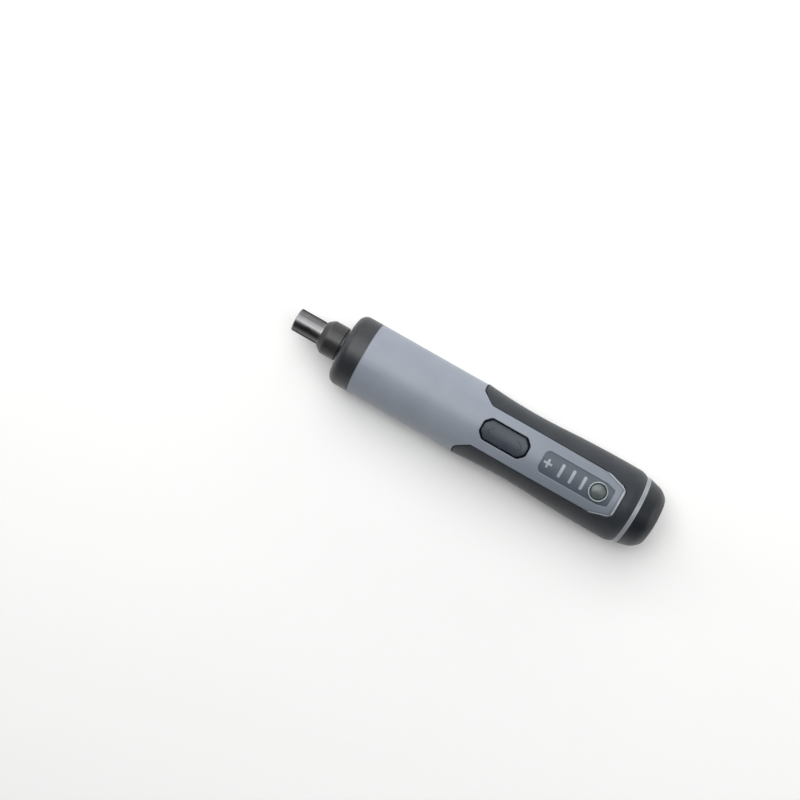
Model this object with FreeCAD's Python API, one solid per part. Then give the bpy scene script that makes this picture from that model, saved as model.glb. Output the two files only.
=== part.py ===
"""Inline cordless screwdriver: two shell halves in a slip-on rubber grip, round a motor, gearbox and cell.

Frame: X runs along the spindle and out of the bit socket, Z points up through the rocker switch, and the
origin is the middle of the bit socket's mouth. Millimetres and degrees.
"""

import FreeCAD, Part
import math
import os

from FreeCAD import Vector

# Lengths of the outer pieces along the tool, from the tip to the tail
sleeve_reach = 14.5
snout_reach = 12.5
collar_length = 11.2
barrel_length = 58.8
grip_length = 88.6
ring_width = 2.0
cap_length = 11.0

# Outer diameters, and steps in radius from the barrel
sleeve_diameter = 11.8
snout_diameter = 17.7
barrel_diameter = 37.0
waist_depth = 1.0
swell_rise = 0.5
ring_step = 0.8
rest_flat_depth = 0.7

# Clearances and cutting overrun
running_gap = 0.03
button_gap = 0.6
slide_gap = 0.1
end_gap = 0.3
overrun = 1.0
point_gap = 0.000001
surface_gap = 0.001
edge_samples = 5

# Bit socket, sleeve and spindle
hex_across_flats = 6.4
hex_depth = 13.0
hex_lead_in = 0.6
spindle_setback = 0.5
sleeve_wall = 1.05
sleeve_insert = 1.3
sleeve_edge_round = 0.5
journal_diameter = 8.0
drive_flat_depth = 1.0
magnet_diameter = 5.2
magnet_length = 3.0
clip_groove_depth = 0.6
clip_width = 0.7
clip_height = 1.5
clip_opening = 5.0

# Gearbox nose: snout, bush seat and flange
snout_bevel_length = 3.0
snout_bevel_height = 2.2
snout_round = 1.6
snout_lip_round = 0.3
snout_neck_length = 1.6
snout_neck_depth = 0.9
snout_neck_round = 0.7
sleeve_air = 0.35
bush_length = 9.0
bush_wall = 2.0
bush_setback = 2.9
clip_room = 1.2
flange_thickness = 3.2

# Front collar
collar_round = 6.8
collar_opening_gap = 0.45
collar_front_wall = 2.4
collar_skirt_wall = 1.2
collar_mouth_round = 0.5

# Shell halves
barrel_wall = 2.2
neck_wall = 2.0
grip_wall = 1.3
step_wall = 2.4
spigot_wall = 1.1
spigot_start = 1.6
shell_edge_bevel = 0.35
shell_edge_round = 0.5
seam_depth = 0.4
seam_gap = 0.12
rib_thickness = 2.0
case_rib_shares = (0.20, 0.75)
motor_rib_shares = (0.12, 0.86)
cell_rib_shares = (0.10, 0.50, 0.90)
boss_diameter = 4.8
boss_wall_gap = 1.0
boss_setback = 8.0
tail_boss_reach = 5.5
screw_diameter = 2.2
screw_length = 10.0
screw_head_diameter = 3.6
screw_head_height = 1.6
screw_seat_depth = 4.5
screw_recess_depth = 1.0

# Tongue: the bare strip of shell that carries the controls
tongue_width = 21.2
tongue_flare_half_width = 15.1
tongue_flare_length = 6.5
tongue_flare_round = 1.0
tongue_taper_length = 9.8
tongue_end_width = 14.9
tongue_end_margin = 4.5
tongue_round = 3.0
tongue_groove = 0.45
tongue_root = 2.0
pocket_round = 0.3

# Board bay inside the upper shell
bay_width = 16.4
bay_roof = 3.2
bay_gap = 0.5

# Rubber grip
waist_share = 0.31
swell_share = 0.88
grip_rear_round = 4.4
grip_front_bevel = 0.5
grip_lip = 0.4

# Tail ring and tail cap
cap_shoulder_share = 0.66
cap_shoulder_drop = 1.9
cap_shoulder_round = 9.0
cap_end_drop = 5.2
cap_end_round = 3.8
cap_wall = 2.2
cap_spigot_length = 2.3
cap_spigot_wall = 1.6
port_width = 12.6
port_height = 7.2
port_wall = 1.4

# Rocker switch
rocker_setback = 7.2
rocker_length = 24.0
rocker_width = 10.4
rocker_corner = 3.0
rocker_round_share = 0.75
rocker_rise = 0.75
rocker_dip = 0.4
rocker_edge_round = 0.7
rocker_underside = 2.4
rocker_top_wall = 1.6
rocker_side_wall = 1.2
rocker_pin_diameter = 1.5
rocker_pin_depth = 3.3
rocker_pin_end_length = 2.0
rocker_hub_wall = 0.9
rocker_nub_diameter = 2.4
rocker_nub_reach = 0.15
rocker_nub_share = 0.34

# Indicator panel, light guide and mode button
panel_setback = 39.2
panel_tail_room = 12.0
panel_width = 11.3
panel_recess = 0.45
panel_thickness = 0.8
panel_front_round = 2.8
panel_taper_length = 4.8
panel_taper = 1.3
panel_taper_round = 3.0
panel_rear_round = 1.0
bar_width = 1.5
bar_height = 6.9
bar_shares = (0.413, 0.641, 0.873)
bar_gap = 0.05
bar_round = 0.6
light_plate_thickness = 0.6
light_plate_margin = 0.3
light_plate_drop = 0.5
mode_setback = 6.95
bezel_diameter = 9.7
bezel_wall = 0.5
bezel_rise = 0.35
mode_dome = 0.75
mode_rise = 0.1
mode_flange = 0.65
mode_flange_thickness = 0.6
mode_stem_diameter = 2.8
mode_stem_length = 0.2

# Circuit board and what is soldered to it
board_width = 15.2
board_thickness = 1.0
board_depth = 6.4
board_setback = 1.0
post_diameter = 4.0
post_inset = 2.2
board_screw_diameter = 1.6
board_screw_length = 2.1
board_screw_head_diameter = 3.0
board_screw_head_height = 0.9
tact_side = 6.0
tact_height = 1.8
tact_plunger_diameter = 3.2
tact_plunger_height = 0.35
mode_dome_diameter = 4.0
mode_dome_height = 0.3
led_length = 2.0
led_width = 1.25
led_height = 0.7

# Charging port in the tail
charge_board_length = 8.0
charge_board_width = 10.0
charge_board_thickness = 1.0
charge_board_tail_gap = 0.6
receptacle_width = 8.94
receptacle_height = 3.26
receptacle_length = 7.3
receptacle_wall = 0.3
receptacle_round = 1.4
contact_tongue_width = 6.6
contact_tongue_height = 0.7
contact_tongue_length = 5.0
charge_post_width = 1.6

# Cell
cell_diameter = 18.5
cell_front_room = 14.8
cell_tail_room = 10.8
cell_floor = 0.6
cell_groove_depth = 0.5
cell_groove_width = 1.4
cell_groove_inset = 4.0
cell_edge_round = 0.8
tab_width = 6.0
tab_thickness = 0.3
tab_below_axis = 3.0
tab_foot = 3.0

# Planetary gears
gear_module = 0.5
sun_teeth = 9
planet_teeth = 18
planets_per_stage = 3
pressure_angle = 25.0
addendum_share = 0.8
dedendum_share = 1.1
backlash = 0.09
case_wall = 1.25
case_key_width = 2.4
case_key_height = 1.2
case_key_count = 4
output_planet_width = 6.0
input_planet_width = 5.0
output_carrier_thickness = 2.8
input_carrier_thickness = 2.5
carrier_rim_gap = 0.6
planet_pin_diameter = 2.5
washer_thickness = 0.5
washer_air = 1.0
stage_gap = 0.6
case_seat_step = 0.25

# Motor
motor_plate_thickness = 2.4
motor_plate_hole = 6.8
motor_diameter = 24.4
motor_tail_room = 13.3
can_wall = 0.8
can_front_wall = 1.0
can_front_round = 1.2
can_boss_diameter = 6.4
can_boss_length = 1.8
motor_screw_spread = 16.0
motor_screw_diameter = 2.5
motor_screw_head_diameter = 4.4
motor_screw_head_height = 1.3
motor_screw_length = 4.4
end_bell_thickness = 3.2
end_bell_spigot = 1.6
end_bell_boss_diameter = 8.0
end_bell_boss_length = 2.0
motor_bush_diameter = 4.6
motor_bush_length = 2.4
magnet_angle = 130.0
magnet_thickness = 2.4
magnet_overhang = 2.7
air_gap = 0.4
motor_shaft_diameter = 2.0
armature_front_room = 8.0
armature_tail_room = 8.0
armature_poles = 5
pole_slot_width = 1.3
pole_neck_diameter = 7.0
pole_rim = 1.2
coil_overhang = 2.6
coil_round = 1.2
commutator_diameter = 6.0
commutator_length = 4.4
commutator_setback = 0.8
brush_width = 2.2
brush_thickness = 1.6
terminal_spread = 12.0
terminal_width = 2.4
terminal_thickness = 0.6
terminal_length = 4.0
lead_diameter = 1.2
lead_overlap = 3.4
lead_pad_inset = 1.6
lead_bend_share = 0.45

# Stations along X, worked out from the lengths above
tip = 0.0
snout_front = tip - sleeve_reach
collar_front = snout_front - snout_reach
barrel_front = collar_front - collar_length
grip_front = barrel_front - barrel_length
ring_front = grip_front - grip_length
cap_front = ring_front - ring_width
tail_end = cap_front - cap_length
snout_neck_front = collar_front + snout_neck_length
flange_front = collar_front - collar_front_wall
case_front = flange_front - flange_thickness
output_carrier_front = case_front - stage_gap
output_carrier_rear = output_carrier_front - output_carrier_thickness
output_planet_front = output_carrier_rear - end_gap
output_planet_rear = output_planet_front - output_planet_width
washer_front = output_planet_rear - end_gap
washer_rear = washer_front - washer_thickness
input_carrier_front = washer_rear - end_gap
input_carrier_rear = input_carrier_front - input_carrier_thickness
input_planet_front = input_carrier_rear - end_gap
input_planet_rear = input_planet_front - input_planet_width
plate_front = input_planet_rear - end_gap
motor_front = plate_front - motor_plate_thickness
can_rear = grip_front + motor_tail_room
bell_rear = can_rear - end_bell_thickness
terminal_rear = bell_rear - terminal_length
armature_front = motor_front - armature_front_room
armature_rear = can_rear + armature_tail_room
commutator_front = armature_rear - coil_overhang - commutator_setback
brush_front = commutator_front - (commutator_length - brush_width) / 2
brush_rear = brush_front - brush_width
bush_front = snout_front - bush_setback
bush_rear = bush_front - bush_length
hex_bottom = tip - spindle_setback - hex_depth
magnet_rear = hex_bottom - magnet_length
sleeve_rear = snout_front - sleeve_insert
clip_front = bush_rear - running_gap
clip_rear = clip_front - clip_width
cell_rear = cap_front + cell_tail_room
cell_front = grip_front - cell_front_room
board_front = grip_front - board_setback
board_rear = cell_rear - tab_thickness
rocker_middle = grip_front - rocker_setback - rocker_length / 2
panel_front = grip_front - panel_setback
panel_rear = ring_front + panel_tail_room
mode_x = panel_rear + mode_setback
tongue_end = panel_rear - tongue_end_margin
port_floor = cap_front - cap_wall
front_boss_x = grip_front - boss_setback
tail_boss_x = cap_front + tail_boss_reach
spigot_front = flange_front - spigot_start
barrel_bore_rear = grip_front + step_wall

# Radii and levels, worked out from the diameters and walls above
sleeve_radius = sleeve_diameter / 2
socket_radius = sleeve_radius - sleeve_wall
journal_radius = journal_diameter / 2
bush_bore_radius = journal_radius + running_gap
bush_radius = bush_bore_radius + bush_wall
clip_radius = journal_radius + clip_height
snout_radius = snout_diameter / 2
snout_neck_radius = snout_radius - snout_neck_depth
barrel_radius = barrel_diameter / 2
spigot_radius = barrel_radius - collar_skirt_wall
spigot_bore_radius = spigot_radius - spigot_wall
barrel_bore_radius = barrel_radius - barrel_wall
waist_radius = barrel_radius - waist_depth
swell_radius = barrel_radius + swell_rise
rest_level = rest_flat_depth - barrel_radius
neck_radius = waist_radius - grip_wall
neck_bore_radius = neck_radius - neck_wall
ring_radius = barrel_radius - ring_step
cap_end_radius = ring_radius - cap_end_drop
boss_radius = boss_diameter / 2
boss_y = neck_bore_radius - boss_radius - boss_wall_gap
cell_radius = cell_diameter / 2
cell_z = cell_radius + cell_floor - neck_bore_radius
motor_radius = motor_diameter / 2
bay_ceiling = barrel_radius - bay_roof
board_level = barrel_radius - board_depth
board_top = board_level + board_thickness
panel_top_radius = barrel_radius - panel_recess
panel_floor_radius = panel_top_radius - panel_thickness
bezel_radius = bezel_diameter / 2
mode_radius = bezel_radius - bezel_wall - slide_gap
rocker_top_radius = barrel_radius + rocker_rise
rocker_bottom = barrel_radius - rocker_underside
rocker_pin_z = barrel_radius - rocker_pin_depth
rocker_pin_radius = rocker_pin_diameter / 2
bar_places = [panel_front - share * (panel_front - mode_x - bezel_radius) for share in bar_shares]

# Gear sizes, worked out from the module and tooth counts
ring_teeth = sun_teeth + 2 * planet_teeth
addendum = addendum_share * gear_module
dedendum = dedendum_share * gear_module
centre_distance = gear_module * (sun_teeth + planet_teeth) / 2
ring_tip_radius = gear_module * ring_teeth / 2 - addendum
ring_root_radius = gear_module * ring_teeth / 2 + dedendum
case_radius = ring_root_radius + case_wall
case_seat_radius = ring_root_radius + case_seat_step
carrier_radius = ring_tip_radius - carrier_rim_gap
pin_radius = planet_pin_diameter / 2
sun_tip_radius = gear_module * sun_teeth / 2 + addendum
shaft_radius = motor_shaft_diameter / 2
magnet_outer_radius = motor_radius - can_wall
magnet_inner_radius = magnet_outer_radius - magnet_thickness
armature_radius = magnet_inner_radius - air_gap
plate_hole_radius = motor_plate_hole / 2
motor_screw_y = motor_screw_spread / 2
terminal_y = terminal_spread / 2

# Directions
along = Vector(1, 0, 0)
across = Vector(0, 1, 0)
up = Vector(0, 0, 1)
origin = Vector(0, 0, 0)


# Flat outlines and the solids made from them

def unit(dx, dy):
    """Length and unit direction of a flat vector."""
    length = math.hypot(dx, dy)
    return length, dx / length, dy / length


def corner_span(before, here, after):
    """Start, middle and end of the round at one corner; without a round all three are the corner."""
    point = (here[0], here[1])
    round_radius = here[2] if len(here) > 2 else 0
    if round_radius <= 0:
        return point, None, point
    len_a, ax, ay = unit(before[0] - here[0], before[1] - here[1])
    len_b, bx, by = unit(after[0] - here[0], after[1] - here[1])
    half = math.acos(max(-1, min(1, ax * bx + ay * by))) / 2
    setback = min(round_radius / math.tan(half), len_a / 2, len_b / 2)
    round_radius = setback * math.tan(half)
    _, mx, my = unit(ax + bx, ay + by)
    reach = round_radius / math.sin(half) - round_radius
    start = (here[0] + ax * setback, here[1] + ay * setback)
    middle = (here[0] + mx * reach, here[1] + my * reach)
    end = (here[0] + bx * setback, here[1] + by * setback)
    return start, middle, end


def outline(corners, place):
    """Closed wire through flat corners (u, v) or (u, v, round); place turns u and v into a point."""
    count = len(corners)
    spans = [corner_span(corners[i - 1], corners[i], corners[(i + 1) % count]) for i in range(count)]
    edges = []
    for i, (start, middle, end) in enumerate(spans):
        if middle:
            edges.append(Part.Arc(place(*start), place(*middle), place(*end)).toShape())
        following = spans[(i + 1) % count][0]
        if math.dist(end, following) > point_gap:
            edges.append(Part.makeLine(place(*end), place(*following)))
    return Part.Wire(edges)


def on_axis_plane(x, radius):
    """A point of a turned profile: distance along the tool and radius."""
    return Vector(x, 0, radius)


def turned(corners):
    """Solid of revolution about the tool's axis, from (x, radius) or (x, radius, round) corners."""
    return turned_wire(outline(corners, on_axis_plane))


def turned_wire(wire):
    """Solid of revolution about the tool's axis, from a closed wire."""
    return Part.Face(wire).revolve(origin, along, 360)


def rod(front, rear, radius):
    """Cylinder on the tool's axis between two stations."""
    return Part.makeCylinder(radius, front - rear, Vector(rear, 0, 0), along)


def tube(front, rear, outer_radius, inner_radius):
    """Tube on the tool's axis between two stations."""
    bore = rod(front + overrun, rear - overrun, inner_radius)
    return rod(front, rear, outer_radius).cut(bore)


def post(x, y, low, high, radius):
    """Upright cylinder."""
    return Part.makeCylinder(radius, high - low, Vector(x, y, low), up)


def cross_rod(x, z, radius, half_width):
    """Cylinder across the tool, centred on the middle plane."""
    return Part.makeCylinder(radius, 2 * half_width, Vector(x, -half_width, z), across)


def block(x_range, y_range, z_range):
    """Box from its ranges along the three axes, each in either order."""
    lows = [min(r) for r in (x_range, y_range, z_range)]
    sizes = [abs(r[1] - r[0]) for r in (x_range, y_range, z_range)]
    return Part.makeBox(*sizes, Vector(*lows))


def plan_prism(corners, low, high):
    """Upright prism over a plan outline of (x, y) or (x, y, round) corners."""
    wire = outline(corners, lambda x, y: Vector(x, y, low))
    return Part.Face(wire).extrude(Vector(0, 0, high - low))


def end_prism(corners, front, rear):
    """Prism along the tool over an end-on outline of (y, z) or (y, z, round) corners."""
    wire = outline(corners, lambda y, z: Vector(front, y, z))
    return Part.Face(wire).extrude(Vector(rear - front, 0, 0))


def rectangle(u_half, v_half, round_radius=0):
    """Corners of a centred rectangle."""
    return [(u, v, round_radius) for u, v in
            ((-u_half, -v_half), (u_half, -v_half), (u_half, v_half), (-u_half, v_half))]


def joined(shapes):
    """One solid from shapes that touch or overlap."""
    whole = shapes[0]
    for shape in shapes[1:]:
        whole = whole.fuse(shape)
    return whole.removeSplitter()


def group(shapes):
    """Separate solids kept in one piece."""
    return Part.makeCompound([solid for shape in shapes for solid in shape.Solids])


def mirrored_y(shape):
    """The same shape on the other side of the middle plane."""
    return shape.mirror(origin, across)


def cut_back_flat(shape):
    """Trims a shape to the flat that the tool rests on."""
    reach = barrel_diameter
    below = block((tail_end - reach, tip + reach), (-reach, reach), (rest_level - reach, rest_level))
    return shape.cut(below)


# Gear teeth

def involute(angle):
    """Involute function of an angle in radians."""
    return math.tan(angle) - angle


def gear_outline(teeth, tip_radius, root_radius, thickness):
    """Closed wire of an involute gear in the plane across the axis, a tooth centred on +Y."""
    pitch_radius = gear_module * teeth / 2
    flank_angle = math.radians(pressure_angle)
    base_radius = pitch_radius * math.cos(flank_angle)
    flank_start = max(base_radius, root_radius)

    def half_angle(radius):
        rolled = math.acos(min(1, base_radius / radius))
        return thickness / 2 / pitch_radius + involute(flank_angle) - involute(rolled)

    def polar(radius, angle):
        return Vector(0, radius * math.cos(angle), radius * math.sin(angle))

    flank_middle = (flank_start + tip_radius) / 2
    edges = []
    for tooth in range(teeth):
        axis = 2 * math.pi * tooth / teeth
        gap = axis + math.pi / teeth
        foot, tip_half = half_angle(flank_start), half_angle(tip_radius)
        rise = [polar(r, axis - half_angle(r)) for r in (flank_start, flank_middle, tip_radius)]
        fall = [polar(r, axis + half_angle(r)) for r in (tip_radius, flank_middle, flank_start)]
        root_a = polar(root_radius, axis - foot)
        root_b = polar(root_radius, axis + foot)
        if flank_start > root_radius:
            edges.append(Part.makeLine(root_a, rise[0]))
        edges.append(Part.Arc(*rise).toShape())
        edges.append(Part.Arc(rise[2], polar(tip_radius, axis), fall[0]).toShape())
        edges.append(Part.Arc(*fall).toShape())
        if flank_start > root_radius:
            edges.append(Part.makeLine(fall[2], root_b))
        root_c = polar(root_radius, gap + math.pi / teeth - foot)
        edges.append(Part.Arc(root_b, polar(root_radius, gap), root_c).toShape())
    return Part.Wire(Part.__sortEdges__(edges))


def gear(teeth, front, rear):
    """External gear between two stations, thinned by half the backlash."""
    pitch_radius = gear_module * teeth / 2
    thickness = math.pi * gear_module / 2 - backlash / 2
    wire = gear_outline(teeth, pitch_radius + addendum, pitch_radius - dedendum, thickness)
    solid = Part.Face(wire).extrude(Vector(rear - front, 0, 0))
    solid.translate(Vector(front, 0, 0))
    return solid


def planet_angles():
    """Angles at which planets can be assembled, as near to evenly spaced as the tooth counts allow."""
    places = sun_teeth + ring_teeth
    return [360 * round(i * places / planets_per_stage) / places for i in range(planets_per_stage)]


def at_planet(angle):
    """Offset from the tool's axis to a planet's axis."""
    turn = math.radians(angle)
    return Vector(0, centre_distance * math.cos(turn), centre_distance * math.sin(turn))


def planet(front, rear, angle):
    """One planet gear in mesh with the ring, bored for its pin."""
    solid = gear(planet_teeth, front, rear)
    solid = solid.cut(rod(front + overrun, rear - overrun, pin_radius + running_gap))
    mesh_turn = angle * (1 - ring_teeth / planet_teeth) - 180 / planet_teeth
    solid.rotate(origin, along, mesh_turn)
    solid.translate(at_planet(angle))
    return solid


def planet_pins(front, rear):
    """The pins of one carrier."""
    pins = []
    for angle in planet_angles():
        pin = rod(front, rear, pin_radius)
        pin.translate(at_planet(angle))
        pins.append(pin)
    return group(pins)


# Spindle and bit socket

def spindle():
    """Output spindle: hex socket in front, journal in the bush, double-D end in the carrier."""
    flat_half = journal_radius - drive_flat_depth
    front = tip - spindle_setback
    solid = turned([
        (front, 0), (front, socket_radius), (sleeve_rear, socket_radius), (sleeve_rear, journal_radius),
        (output_carrier_rear, journal_radius), (output_carrier_rear, 0)])
    hex_radius = hex_across_flats / 2 / math.cos(math.radians(30))
    corners = [(hex_radius * math.cos(math.radians(60 * i)), hex_radius * math.sin(math.radians(60 * i)))
               for i in range(6)]
    solid = solid.cut(end_prism(corners, front + overrun, hex_bottom))
    lead_in = turned([(front, 0), (front, hex_radius), (front - hex_lead_in, hex_radius - hex_lead_in),
                      (front - hex_lead_in, 0)])
    solid = solid.cut(lead_in)
    solid = solid.cut(rod(hex_bottom, magnet_rear, magnet_diameter / 2))
    groove = tube(clip_front, clip_rear, journal_radius + overrun, journal_radius - clip_groove_depth)
    solid = solid.cut(groove)
    for side in (-1, 1):
        flat = block((output_carrier_front, output_carrier_rear - overrun),
                     (-journal_diameter, journal_diameter), (side * flat_half, side * journal_diameter))
        solid = solid.cut(flat)
    return solid


def bit_sleeve():
    """Bright sleeve pressed over the front of the spindle."""
    return turned([(tip, socket_radius), (tip, sleeve_radius, sleeve_edge_round),
                   (sleeve_rear, sleeve_radius), (sleeve_rear, socket_radius)])


def spindle_clip():
    """Open retaining clip in the spindle's groove, behind the bush."""
    ring = tube(clip_front, clip_rear, clip_radius, journal_radius - clip_groove_depth)
    opening = block((clip_front + overrun, clip_rear - overrun), (-clip_opening / 2, clip_opening / 2),
                    (-clip_radius - overrun, 0))
    return ring.cut(opening)


def output_carrier():
    """Plate that turns the spindle, with the output planets' pins pressed in."""
    plate = rod(output_carrier_front, output_carrier_rear, carrier_radius)
    drive = rod(output_carrier_front + overrun, output_carrier_rear - overrun, journal_radius)
    flat_half = journal_radius - drive_flat_depth
    drive = drive.common(block((output_carrier_front + overrun, output_carrier_rear - overrun),
                               (-journal_diameter, journal_diameter), (-flat_half, flat_half)))
    plate = plate.cut(drive)
    return plate.cut(planet_pins(output_carrier_front + overrun, output_carrier_rear - overrun))


def input_carrier():
    """Plate with the output stage's sun gear in front and the input planets' pins behind."""
    plate = rod(input_carrier_front, input_carrier_rear, carrier_radius)
    plate = plate.cut(planet_pins(input_carrier_front + overrun, input_carrier_rear - overrun))
    return joined([plate, gear(sun_teeth, output_planet_front, input_carrier_front)])


# Gearbox

def gearbox_nose():
    """Gearbox front: snout round the spindle, necked at the collar, with the bush's seat and a flange."""
    mouth = sleeve_radius + sleeve_air
    clip_bore = clip_radius + clip_room
    return turned([
        (snout_front, mouth), (snout_front, snout_radius - snout_bevel_height, snout_lip_round),
        (snout_front - snout_bevel_length, snout_radius, snout_round),
        (snout_neck_front, snout_radius, snout_neck_round), (snout_neck_front, snout_neck_radius),
        (flange_front, snout_neck_radius), (flange_front, case_radius), (case_front, case_radius),
        (case_front, clip_bore),
        (bush_rear, clip_bore), (bush_rear, bush_radius), (bush_front, bush_radius), (bush_front, mouth)])


def spindle_bush():
    """Sintered bush that carries the spindle."""
    return tube(bush_front, bush_rear, bush_radius, bush_bore_radius)


def gear_case():
    """Gear case: ring teeth for both stages, plain seats at both ends, keys along the outside."""
    solid = rod(case_front, motor_front, case_radius)
    cutter_wire = gear_outline(ring_teeth, ring_root_radius, ring_tip_radius,
                               math.pi * gear_module / 2 + backlash / 2)
    cutter = Part.Face(cutter_wire).extrude(Vector(motor_front - case_front, 0, 0))
    cutter.rotate(origin, along, 180 / ring_teeth)
    cutter.translate(Vector(case_front, 0, 0))
    solid = solid.cut(cutter)
    solid = solid.cut(rod(case_front + overrun, output_carrier_rear, case_seat_radius))
    solid = solid.cut(rod(plate_front, motor_front - overrun, case_seat_radius))
    return joined([solid] + case_keys())


def case_keys():
    """Keys that stop the gear case turning in the shells."""
    keys = []
    for i in range(case_key_count):
        key = block((case_front, motor_front), (case_radius - case_wall / 2, case_radius + case_key_height),
                    (-case_key_width / 2, case_key_width / 2))
        key.rotate(origin, along, 360 * (i + 0.5) / case_key_count)
        keys.append(key)
    return keys


def stage_washer():
    """Thin washer between the two stages."""
    return tube(washer_front, washer_rear, ring_tip_radius, sun_tip_radius + washer_air)


def motor_plate():
    """Plate that closes the gear case and carries the motor."""
    plate = tube(plate_front, motor_front, case_seat_radius, plate_hole_radius)
    for side in (-1, 1):
        hole = rod(plate_front + overrun, motor_front - overrun, motor_screw_diameter / 2)
        head_rear = plate_front - motor_screw_head_height
        head = rod(plate_front + overrun, head_rear, motor_screw_head_diameter / 2)
        for cutter in (hole, head):
            cutter.translate(Vector(0, side * motor_screw_y, 0))
            plate = plate.cut(cutter)
    return plate


def motor_screws():
    """Screws that hold the motor to its plate."""
    screws = []
    for side in (-1, 1):
        head = rod(plate_front, plate_front - motor_screw_head_height, motor_screw_head_diameter / 2)
        shank = rod(plate_front, plate_front - motor_screw_length, motor_screw_diameter / 2)
        drive = block((plate_front + overrun, plate_front - motor_screw_head_height / 2),
                      (-motor_screw_diameter / 2, motor_screw_diameter / 2),
                      (-motor_screw_head_height / 4, motor_screw_head_height / 4))
        screw = joined([head, shank]).cut(drive)
        screw.translate(Vector(0, side * motor_screw_y, 0))
        screws.append(screw)
    return group(screws)


# Motor

def motor_can():
    """Drawn steel can with a boss for the front bush."""
    inner = motor_radius - can_wall
    boss_outer = can_boss_diameter / 2
    bush_hole = motor_bush_diameter / 2
    can = turned([
        (motor_front + can_boss_length, bush_hole), (motor_front + can_boss_length, boss_outer),
        (motor_front, boss_outer), (motor_front, motor_radius, can_front_round), (can_rear, motor_radius),
        (can_rear, inner), (motor_front - can_front_wall, inner), (motor_front - can_front_wall, bush_hole)])
    for side in (-1, 1):
        hole = rod(motor_front + overrun, motor_front - can_front_wall - overrun, motor_screw_diameter / 2)
        hole.translate(Vector(0, side * motor_screw_y, 0))
        can = can.cut(hole)
    return can


def motor_end_bell():
    """Moulded rear end of the motor, with the rear bush seat and slots for the terminals."""
    inner = motor_radius - can_wall
    bell = turned([
        (can_rear + end_bell_spigot, inner), (can_rear, inner), (can_rear, motor_radius),
        (bell_rear, motor_radius, can_front_round), (bell_rear, end_bell_boss_diameter / 2),
        (bell_rear - end_bell_boss_length, end_bell_boss_diameter / 2),
        (bell_rear - end_bell_boss_length, motor_bush_diameter / 2),
        (can_rear - can_wall, motor_bush_diameter / 2), (can_rear - can_wall, inner - can_wall),
        (can_rear + end_bell_spigot, inner - can_wall)])
    return bell.cut(motor_terminals())


def motor_terminals():
    """Brass strips from the brushes through the end bell to the leads."""
    half = terminal_thickness / 2
    strips = [block((brush_rear, terminal_rear), (side * terminal_y - half, side * terminal_y + half),
                    (-terminal_width / 2, terminal_width / 2)) for side in (-1, 1)]
    return group(strips)


def wedge(angle, front, rear):
    """Wedge about the +Y side of the tool's axis, wider than the motor, for cutting sectors."""
    half = math.radians(angle / 2)
    reach = motor_diameter
    side = (reach * math.cos(half), reach * math.sin(half))
    return end_prism([(0, 0), (side[0], -side[1]), (reach / math.cos(half), 0), side], front, rear)


def motor_magnets():
    """Two curved magnets inside the can."""
    front = armature_front + magnet_overhang
    rear = armature_rear - magnet_overhang
    ring = tube(front, rear, magnet_outer_radius, magnet_inner_radius)
    magnet = ring.common(wedge(magnet_angle, front + overrun, rear - overrun))
    return group([magnet, mirrored_y(magnet)])


def motor_bush(front, rear):
    """One motor bush."""
    return tube(front, rear, motor_bush_diameter / 2, shaft_radius + running_gap)


def motor_bushes():
    """Bushes at both ends of the motor."""
    front = motor_front + can_boss_length
    rear = bell_rear - end_bell_boss_length
    return group([motor_bush(front, front - motor_bush_length), motor_bush(rear + motor_bush_length, rear)])


def motor_brushes():
    """Carbon brushes on the commutator, each carried on its terminal."""
    inner = commutator_diameter / 2 + running_gap
    outer = terminal_y + brush_thickness
    brushes = [block((brush_front, brush_rear), (side * inner, side * outer),
                     (-brush_thickness / 2, brush_thickness / 2)) for side in (-1, 1)]
    return group(brushes)


def motor_shaft():
    """Motor shaft from the pinion to the rear bush."""
    return rod(input_planet_front, bell_rear - end_bell_boss_length, shaft_radius)


def motor_pinion():
    """Sun gear of the input stage, pressed on the motor shaft."""
    pinion = gear(sun_teeth, input_planet_front, input_planet_rear)
    return pinion.cut(rod(input_planet_front + overrun, input_planet_rear - overrun, shaft_radius))


def pole_slots(front, rear, tip_radius):
    """Winding slots between the armature poles, out to a radius."""
    neck = pole_neck_diameter / 2
    slots = []
    for i in range(armature_poles):
        turn = 360 * (i + 0.5) / armature_poles
        slot = tube(front, rear, tip_radius, neck)
        slot = slot.common(wedge(180 / armature_poles, front + overrun, rear - overrun))
        slot.rotate(origin, along, turn)
        slots.append(slot)
    return slots


def armature_core():
    """Laminated armature: poles with rims, open slots between them."""
    core = tube(armature_front, armature_rear, armature_radius, shaft_radius)
    front, rear = armature_front + overrun, armature_rear - overrun
    for slot in pole_slots(front, rear, armature_radius - pole_rim):
        core = core.cut(slot)
    half = pole_slot_width / 2
    for i in range(armature_poles):
        opening = block((front, rear), (pole_neck_diameter / 2, motor_radius), (-half, half))
        opening.rotate(origin, along, 360 * (i + 0.5) / armature_poles)
        core = core.cut(opening)
    return core


def armature_coils():
    """Windings: a rounded bundle at each end, joined through the slots."""
    outer = armature_radius - pole_rim
    inner = pole_neck_diameter / 2
    shapes = []
    for near, far in ((armature_front, armature_front + coil_overhang),
                      (armature_rear, armature_rear - coil_overhang)):
        bundle = [(near, inner), (near, outer), (far, outer, coil_round), (far, inner, coil_round)]
        shapes.append(turned(bundle))
    return joined(shapes + pole_slots(armature_front, armature_rear, outer))


def commutator():
    """Commutator on the shaft behind the windings, joined to them by its hub."""
    rear = commutator_front - commutator_length
    hub = tube(armature_rear, commutator_front, pole_neck_diameter / 2, shaft_radius)
    drum = tube(commutator_front, rear, commutator_diameter / 2, shaft_radius)
    return joined([hub, drum])


# Shell halves

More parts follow.
